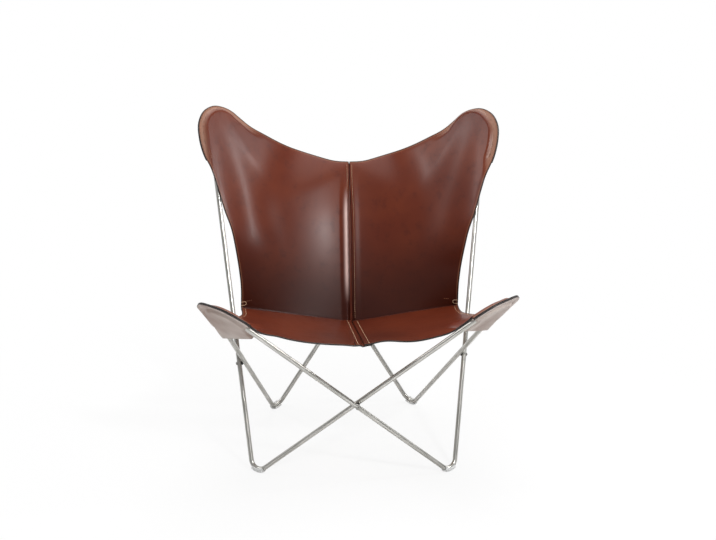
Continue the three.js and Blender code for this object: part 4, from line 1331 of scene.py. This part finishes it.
def make_panel(sheet, half):
    """The formula's points plus their level, with all that the leather's finish asks for."""
    flat = panel_grid(sheet, half)
    middle, normals, (_, flange), edge_distance = panel_surface(sheet, half, flat)
    rows = stitch_rows(sheet, half)
    score = row_distance(sheet, half, sheet.place(half, flat), rows)
    world = to_world(middle, half)
    exact = grid_normals(world, turn_over(normals, half.side))
    # The flange tone is partly burnishing and partly a painted sheen, the darkening is painted
    # shade, and the seam roll's brightening is a painted highlight.
    attributes = {"edge_mm": edge_distance, "score_mm": score, "flange": flange,
                  "painted_shade": painted_shade(sheet, flat), "painted_highlight": painted_highlight(sheet, half, flat)}
    name = f"{sheet.name}_panel_{half.place}_leather"
    return thick_sheet(name, world, exact, skived(sheet.name, edge_distance), LEATHER_SIDES,
                       attributes)


def make_pocket(sheet, half):
    """A mix of the plane under the rods and of the panel's back, by how far out on the flange
    and how close to the sewn edge a point is."""
    flat = pocket_grid(sheet, half)
    held = sheet.place(half, flat, held=True)
    panel, normals, (out, _), edge_distance = panel_surface(sheet, half, flat)
    carrier = sheet.carrier(half)
    sewn = np.maximum(out, 1 - smooth(*POCKET_SEWN, edge_distance))[..., None]
    thickness = skived("pocket", edge_distance)
    apart = (thickness + skived(sheet.name, edge_distance)) / 2 + FIT
    inner = held - carrier.normal * 2 * LIFT
    outer = panel - normals * apart[..., None]
    middle = to_world(mix(inner, outer, sewn), half)
    exact = grid_normals(middle, turn_over(normals, half.side))
    attributes = {"edge_mm": edge_distance, "score_mm": edge_distance * 0 + NO_SCORE_MM}
    name = f"{sheet.name}_pocket_{half.place}_leather"
    return thick_sheet(name, middle, exact, thickness, LEATHER_SIDES, attributes)


QUARTERS = [(sheet, half) for half in HALVES for sheet in (BACK, SEAT)]
PANELS = {}
POCKETS = {}
for sheet, half in QUARTERS:
    panel = make_panel(sheet, half)
    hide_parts(f"{sheet.name}_panel_{half.place}")
    pocket = make_pocket(sheet, half)
    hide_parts(f"{sheet.name}_pocket_{half.place}")
    PANELS[sheet.name, half.place] = panel
    POCKETS[sheet.name, half.place] = pocket

# %% [markdown]
# ## The strips behind the seams
#
# Each seam is backed by a narrow strip of thinner leather that both halves are sewn to. It
# follows the same formula as the panels, a leather's thickness behind them, and bows back in
# its middle, where the edges of the halves turn in.

# %% Middle strips
STRIP_ROWS = 120
STRIP_COLUMNS = 25
STRIP_TOP_INSET = 3
STRIP_FRONT_INSET = 2.5
STRIP_FOOT_DEPTH = 9
STRIP_GAP = 0.25
STRIP_BOW = {"back": 3.6, "seat": 1.3}
STRIP_BOW_WIDTH = 9


def make_strip(sheet):
    """Rows from the top or front edge to the fold, columns from left to right."""
    half = HALVES[1]
    start = sheet.edge_middle[1] - (STRIP_TOP_INSET if sheet is BACK else STRIP_FRONT_INSET)
    end = fold_end(sheet, 0)
    end = end - (STRIP_FOOT_DEPTH - BACK_FOOT_DEPTH) if sheet is BACK else end + STRIP_LEATHER
    b, a = np.meshgrid(np.linspace(start, end, STRIP_ROWS),
                       np.linspace(-STRIP_WIDTH / 2, STRIP_WIDTH / 2, STRIP_COLUMNS),
                       indexing="ij")
    flat = np.stack([a, b], axis=-1)
    points, normals = sheet.place(half, flat), formula_normals(sheet, half, flat)
    fade = smooth(*SEAM_TOP_FADE, BACK_DIP_HEIGHT - b) if sheet is BACK else 1
    bow = STRIP_BOW[sheet.name] * (1 - smooth(0, STRIP_BOW_WIDTH, np.abs(a))) * fade
    level = -(LEATHER + STRIP_LEATHER) / 2 - STRIP_GAP - bow
    middle = to_world(points + normals * level[..., None], half)
    attributes = {"edge_mm": STRIP_WIDTH / 2 - np.abs(a), "score_mm": 0 * a + NO_SCORE_MM}
    return thick_sheet(f"middle_strip_{sheet.name}_leather", middle,
                       grid_normals(middle, normals), STRIP_LEATHER,
                       LEATHER_SIDES, attributes, closed_tip=False)


STRIPS = {}
for sheet in (BACK, SEAT):
    strip = make_strip(sheet)
    STRIPS[sheet.name] = strip
    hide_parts("middle_strip_" + sheet.name)

# %% [markdown]
# ## Stitches
#
# A stitch is a short length of waxed thread that goes down at both ends. Here it is a long
# ellipsoid, half sunk into the score line. The stitches of a panel are one mesh: the same few
# dozen faces, moved along the rows with array sums, and each turned a little, since the two
# needles of a saddle stitch leave it slanted.

# %% Thread
STITCH_PITCH = 5.2
STITCH_LENGTH = 4.3
STITCH_RADIUS = 0.5
STITCH_FULLNESS = 0.7
STITCH_SLANT = np.radians(9)
STITCH_RINGS = 6
STITCH_SIDES = 8


def waxed_thread(light, dark):
    """Twisted thread: fine slanted bands between two colours, with a waxy gloss."""
    def make(nodes):
        place = nodes.object_place()
        twist = nodes.noise(place, 1800, detail=2, stretch=(1, 1, 0.4))
        wear = nodes.noise(place, 30, detail=3)
        base = nodes.mix(colour(*dark), colour(*light), twist.clamped(0.3, 0.65))
        return {
            "Base Color": nodes.mix(base, colour(*dark), wear.clamped(0.5, 0.8) * 0.6),
            "Roughness": 0.45 + twist * 0.2,
            "Normal": nodes.bump(twist, 0.0002, 0.6),
        }
    return make


CREAM_THREAD = finish_material("cream_thread", waxed_thread((226, 196, 162), (170, 124, 88)))
TAN_THREAD = finish_material("tan_thread", waxed_thread((168, 112, 78), (112, 66, 44)))


def stitch_shape():
    """An ellipsoid along its first axis, rings by sides, with both ends drawn to a point."""
    turn = np.linspace(0, np.pi, STITCH_RINGS)[:, None]
    round_it = np.linspace(0, 2 * np.pi, STITCH_SIDES, endpoint=False)[None]
    along = -np.cos(turn) * STITCH_LENGTH / 2 + 0 * round_it
    out = np.sin(turn) ** STITCH_FULLNESS * STITCH_RADIUS
    return np.stack([along, out * np.cos(round_it), out * np.sin(round_it)], axis=-1)


# %% [markdown]
# To sew a row, its flat line is lifted to the face of the leather, and places are read off at
# equal steps along it. Each place gets three axes, along the row, across it and up, and a table
# of axes turns the one ellipsoid into all of them at once.

# %% Sewing
def surface_points(sheet, half, row):
    """Points on the upper face of the leather along a flat row, and the face's normals."""
    middle, normals, _, edge_distance = panel_surface(sheet, half, row[:, None])
    top = middle + normals * skived(sheet.name, edge_distance)[..., None] / 2
    return to_world(top[:, 0], half), turn_over(normals[:, 0], half.side)


def sew(name, sheet, half, rows, material):
    """All the stitches of some rows of one panel."""
    shape = stitch_shape().reshape(-1, 3)
    centres, ways, ups = [], [], []
    for row in rows:
        line, normals = surface_points(sheet, half, row)
        way = walked(line)
        at = np.arange(STITCH_PITCH / 2, way[-1], STITCH_PITCH)
        centres.append(read_off(line, way, at))
        ups.append(unit(read_off(normals, way, at)))
        ways.append(unit(np.gradient(centres[-1], axis=0)))
    centres, ways, ups = (np.vstack(part) for part in (centres, ways, ups))
    sides = unit(np.cross(ups, ways))
    slanted = unit(ways * np.cos(STITCH_SLANT) + sides * np.sin(STITCH_SLANT))
    sides = unit(np.cross(ups, slanted))
    axes = np.stack([slanted, sides, np.cross(slanted, sides)], axis=1)
    points = centres[:, None] + np.einsum("pk,skc->spc", shape, axes)
    numbers = np.arange(STITCH_RINGS * STITCH_SIDES).reshape(STITCH_RINGS, STITCH_SIDES)
    numbers[[0, -1]] = numbers[[0, -1], :1]
    one = grid_faces(np.column_stack([numbers, numbers[:, :1]]))
    faces = one[None] + np.arange(len(centres))[:, None, None] * len(shape)
    stitches = make_piece(name, points.reshape(-1, 3), faces.reshape(-1, 4)[:, ::-1], [material])
    return stitches


SEWN = {}
for sheet, half in QUARTERS:
    flange_row, seam_row, last_row = stitch_rows(sheet, half)
    seams, others = [seam_row], [flange_row]
    (seams if sheet is SEAT else others).append(last_row)
    ending = f"{sheet.name}_{half.place}"
    SEWN[sheet.name, half.place] = [
        sew("seam_stitches_" + ending, sheet, half, seams, CREAM_THREAD),
        sew("flange_stitches_" + ending, sheet, half, others, TAN_THREAD)]

# %% [markdown]
# ## The waist loops
#
# At each side, where the fold ends, a loop of thick cream thread ties the seat to the back. It
# comes round the cut edge, runs in along the back, bends and goes out again, so two threads are
# seen side by side. It is a tube like the rods, along a path on the face of the leather.

# %% Waist loops
WAIST_LOOP_REACH = 13
WAIST_LOOP_LOW = 4
WAIST_LOOP_HIGH = 14
WAIST_LOOP_RADIUS = 0.9
WAIST_LOOP_STEPS = 24
WAIST_LOOP_SIDES = 12
WAIST_LEG_STEPS = 6
WAIST_LOOP_TUCK = 1.2
WAIST_LOOP_LIFT = 0.7 * WAIST_LOOP_RADIUS


def waist_loop(half):
    """A U on the face of the back, whose legs go round the edge: two straight runs and half a
    circle between them, lifted off the leather by most of the thread's radius."""
    radius = (WAIST_LOOP_HIGH - WAIST_LOOP_LOW) / 2
    side = BACK.outline(half, "side")
    turns = np.linspace(np.pi / 2, -np.pi / 2, WAIST_LOOP_STEPS)
    leg_end = WAIST_LOOP_REACH - radius
    leg = np.concatenate([[-WAIST_LOOP_TUCK], np.linspace(0, leg_end, WAIST_LEG_STEPS)])
    inwards = np.concatenate([leg, leg_end + radius * np.cos(turns), leg[::-1]])
    level = np.full(len(leg), radius)
    above = np.concatenate([level, radius * np.sin(turns), -level])
    b = WAIST_HEIGHT + WAIST_LOOP_LOW + radius + above
    order = np.argsort(side[:, 1])
    edge = np.interp(b, side[order, 1], side[order, 0])
    flat = np.stack([edge - inwards, b], axis=-1)
    line, normals = surface_points(BACK, half, flat)
    lift = np.full(len(line), WAIST_LOOP_LIFT)
    lift[[0, -1]] = -LEATHER
    loop = tube("waist_loop_" + half.place, line + normals * lift[:, None], WAIST_LOOP_RADIUS,
                WAIST_LOOP_SIDES, CREAM_THREAD)
    return loop


for half in HALVES:
    SEWN["back", half.place].append(waist_loop(half))

# %% [markdown]
# ## What each sheet was cut to
#
# The leather isn't stretched, so each sheet was cut as large as it is now. The area is half of
# the finished mesh's, and the width and the length are ways along the rows and columns of its
# grid on the formula. Whoever lays out a hide for this chair would start from these numbers.

# %% Sheets
def flat_area(piece):
    """Half of a thin closed mesh's area, in square metres."""
    return sum(face.area for face in piece.data.polygons) / 2


def cut_size(sheet, half, flat):
    """The longest row of a grid on the sheet and the length of its side, in metres."""
    points = sheet.place(half, flat)
    width = np.linalg.norm(np.diff(points, axis=1), axis=-1).sum(axis=1).max()
    length = np.linalg.norm(np.diff(points[:, 0], axis=0), axis=-1).sum()
    return width / METRE, length / METRE


def declare(piece, flat):
    """Prints how large the flat sheet was, which is at least its area."""
    area = flat_area(piece)
    width, length = flat
    spare = max(1, area / (width * length))
    flat = (width * spare, length)
    print(piece.name, "cut to", [round(float(v), 3) for v in flat], "area", round(area, 4))


OTHER_PLACE = {"left": "right", "right": "left"}
for sheet, half in QUARTERS:
    rod_name = "rod_" + (half.place if sheet is BACK else OTHER_PLACE[half.place])
    panel = PANELS[sheet.name, half.place]
    pocket = POCKETS[sheet.name, half.place]
    declare(panel, cut_size(sheet, half, panel_grid(sheet, half)))
    declare(pocket, cut_size(sheet, half, pocket_grid(sheet, half)))
for sheet in (BACK, SEAT):
    strip = STRIPS[sheet.name]
    length = flat_area(strip) / (STRIP_WIDTH / METRE)
    declare(strip, (STRIP_WIDTH / METRE, length))

# %% [markdown]
# ## Screws, spacers and glides
#
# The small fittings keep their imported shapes, which are already exact, and only get their
# finishes: turned steel screws, black nylon spacers and milky glides under the floor corners.

# %% Fittings
FITTINGS = {
    "spacer": finish_material("black_nylon", speckled((20, 20, 21), (36, 36, 37), 700,
                                                      (0.42, 0.2), 0.00005, 0.4)),
    "screw": TURNED_STEEL,
    "glide": finish_material("milky_glide", speckled((236, 238, 236), (252, 252, 251), 120,
                                                     (0.35, 0.2), 0.00008, 0.3),
                             transmission_weight=0.25, ior=1.3),
}
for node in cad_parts:
    kind = node.split("_")[0]
    if kind in FITTINGS:
        fitting = bpy.data.objects[node]
        fitting.data.materials.clear()
        fitting.data.materials.append(FITTINGS[kind])

# %% [markdown]
# ## Floor, light and background
#
# The chair stands on a white sweep in soft light. The floor is paper for the light, and mostly
# plain white for the camera, so that only the contact shadows are left of it. The room is
# darker on the camera's side, and that difference draws dark and light lines along the rods.

# %% Floor and room
FLOOR_SIZE = 30
FLOOR_WHITE_NEAR = 0.86
FLOOR_WHITE_FROM = (0.55, 1.3)
PAPER = (0.82, 0.82, 0.82, 1)
WHITE = (1, 1, 1, 1)
ROOM_FRONT = (0.37, 0.37, 0.374, 1)
ROOM_BACK = (0.9, 0.9, 0.9, 1)
ROOM_BLEND = (-0.2, 0.8)


def make_floor():
    """White paper that is lit like paper, with most of what the camera sees of it plain white,
    so that only the contact shadows remain. Further from the chair it is all white."""
    material = bpy.data.materials.new("floor_white")
    material.use_nodes = True
    nodes = Nodes(material.node_tree)
    nodes.tree.nodes.clear()
    paper = nodes.add("ShaderNodeBsdfDiffuse", {}, {"Color": PAPER})
    white = nodes.add("ShaderNodeEmission", {}, {"Color": WHITE, "Strength": 1.0})
    seen = nodes.add("ShaderNodeLightPath", output="Is Camera Ray")
    away = nodes.add("ShaderNodeVectorMath", {"operation": "LENGTH"}, [nodes.object_place()],
                     "Value").clamped(*FLOOR_WHITE_FROM)
    share = FLOOR_WHITE_NEAR + (1 - FLOOR_WHITE_NEAR) * away
    mixed = nodes.add("ShaderNodeMixShader", {}, [seen * share, paper, white])
    nodes.add("ShaderNodeOutputMaterial", {}, {"Surface": mixed}, None)
    bpy.ops.mesh.primitive_plane_add(size=FLOOR_SIZE)
    floor = bpy.context.object
    floor.name = "floor"
    floor.data.materials.append(material)


def make_world():
    """White for the camera; a grey room, lighter behind the chair, for everything else."""
    world = bpy.data.worlds.new("studio")
    world.use_nodes = True
    bpy.context.scene.world = world
    nodes = Nodes(world.node_tree)
    nodes.tree.nodes.clear()
    way = nodes.add("ShaderNodeTexCoord", output="Generated")
    behind = nodes.add("ShaderNodeSeparateXYZ", {}, {"Vector": way}, "Y")
    room = nodes.mix(ROOM_FRONT, ROOM_BACK, behind.clamped(*ROOM_BLEND))
    seen = nodes.add("ShaderNodeLightPath", output="Is Camera Ray")
    shown = nodes.mix(room, WHITE, seen)
    sky = nodes.add("ShaderNodeBackground", {}, {"Color": shown, "Strength": 1.0})
    nodes.add("ShaderNodeOutputWorld", {}, {"Surface": sky}, None)


make_floor()
make_world()
bpy.context.scene.view_settings.view_transform = "Standard"

# %% [markdown]
# A large softbox hangs straight above the chair, a weaker one stands behind, and the room gives
# the rest. Three small ones each draw a sheen on the waxed leather: one near the camera for the
# middle of the back, and one at each side for the opposite wing. A sheen is a mirror image of
# its lamp, so each stands where the leather at its target would mirror it into the camera.

# %% Lamps
# Each has a target, a turn, a height over the horizon, a distance, a size and watts.
SOFTBOXES = {
    "key_softbox": ((-0.07, 0.24, 0.5), 24, 33.5, 3.2, (0.24, 0.24), 37),
    "side_softbox_right": ((-0.3, 0.25, 0.74), 85, 21, 3.0, (0.2, 0.34), 18),
    "side_softbox_left": ((0.32, 0.24, 0.79), -81, 27, 3.0, (0.18, 0.3), 12),
    "top_softbox": ((0, 0.1, 0.5), 0, 88, 2.6, (2.0, 2.0), 30),
    "rear_softbox": ((0, 0.1, 0.5), 180, 65, 2.6, (1.6, 1.2), 15),
}


def softbox(name, target, turn, height, distance, size, watts):
    """A rectangular lamp that faces its target from a turn to the right of the front, a height
    over the horizon, both in degrees, and a distance in metres."""
    turn, height = np.radians([turn, height])
    z = np.array([np.sin(turn) * np.cos(height), -np.cos(turn) * np.cos(height), np.sin(height)])
    data = bpy.data.lights.new(name, "AREA")
    data.shape = "RECTANGLE"
    data.size, data.size_y = size
    data.energy = watts
    lamp = bpy.data.objects.new(name, data)
    x = unit(np.cross([0, 0, 1], z))
    place = np.array(target) + z * distance
    axes = np.column_stack([x, np.cross(z, x), z, place])
    lamp.matrix_world = Matrix(np.vstack([axes, [0, 0, 0, 1]]).tolist())
    bpy.context.scene.collection.objects.link(lamp)


for name, settings in SOFTBOXES.items():
    softbox(name, *settings)
print(len(SOFTBOXES), "softboxes")
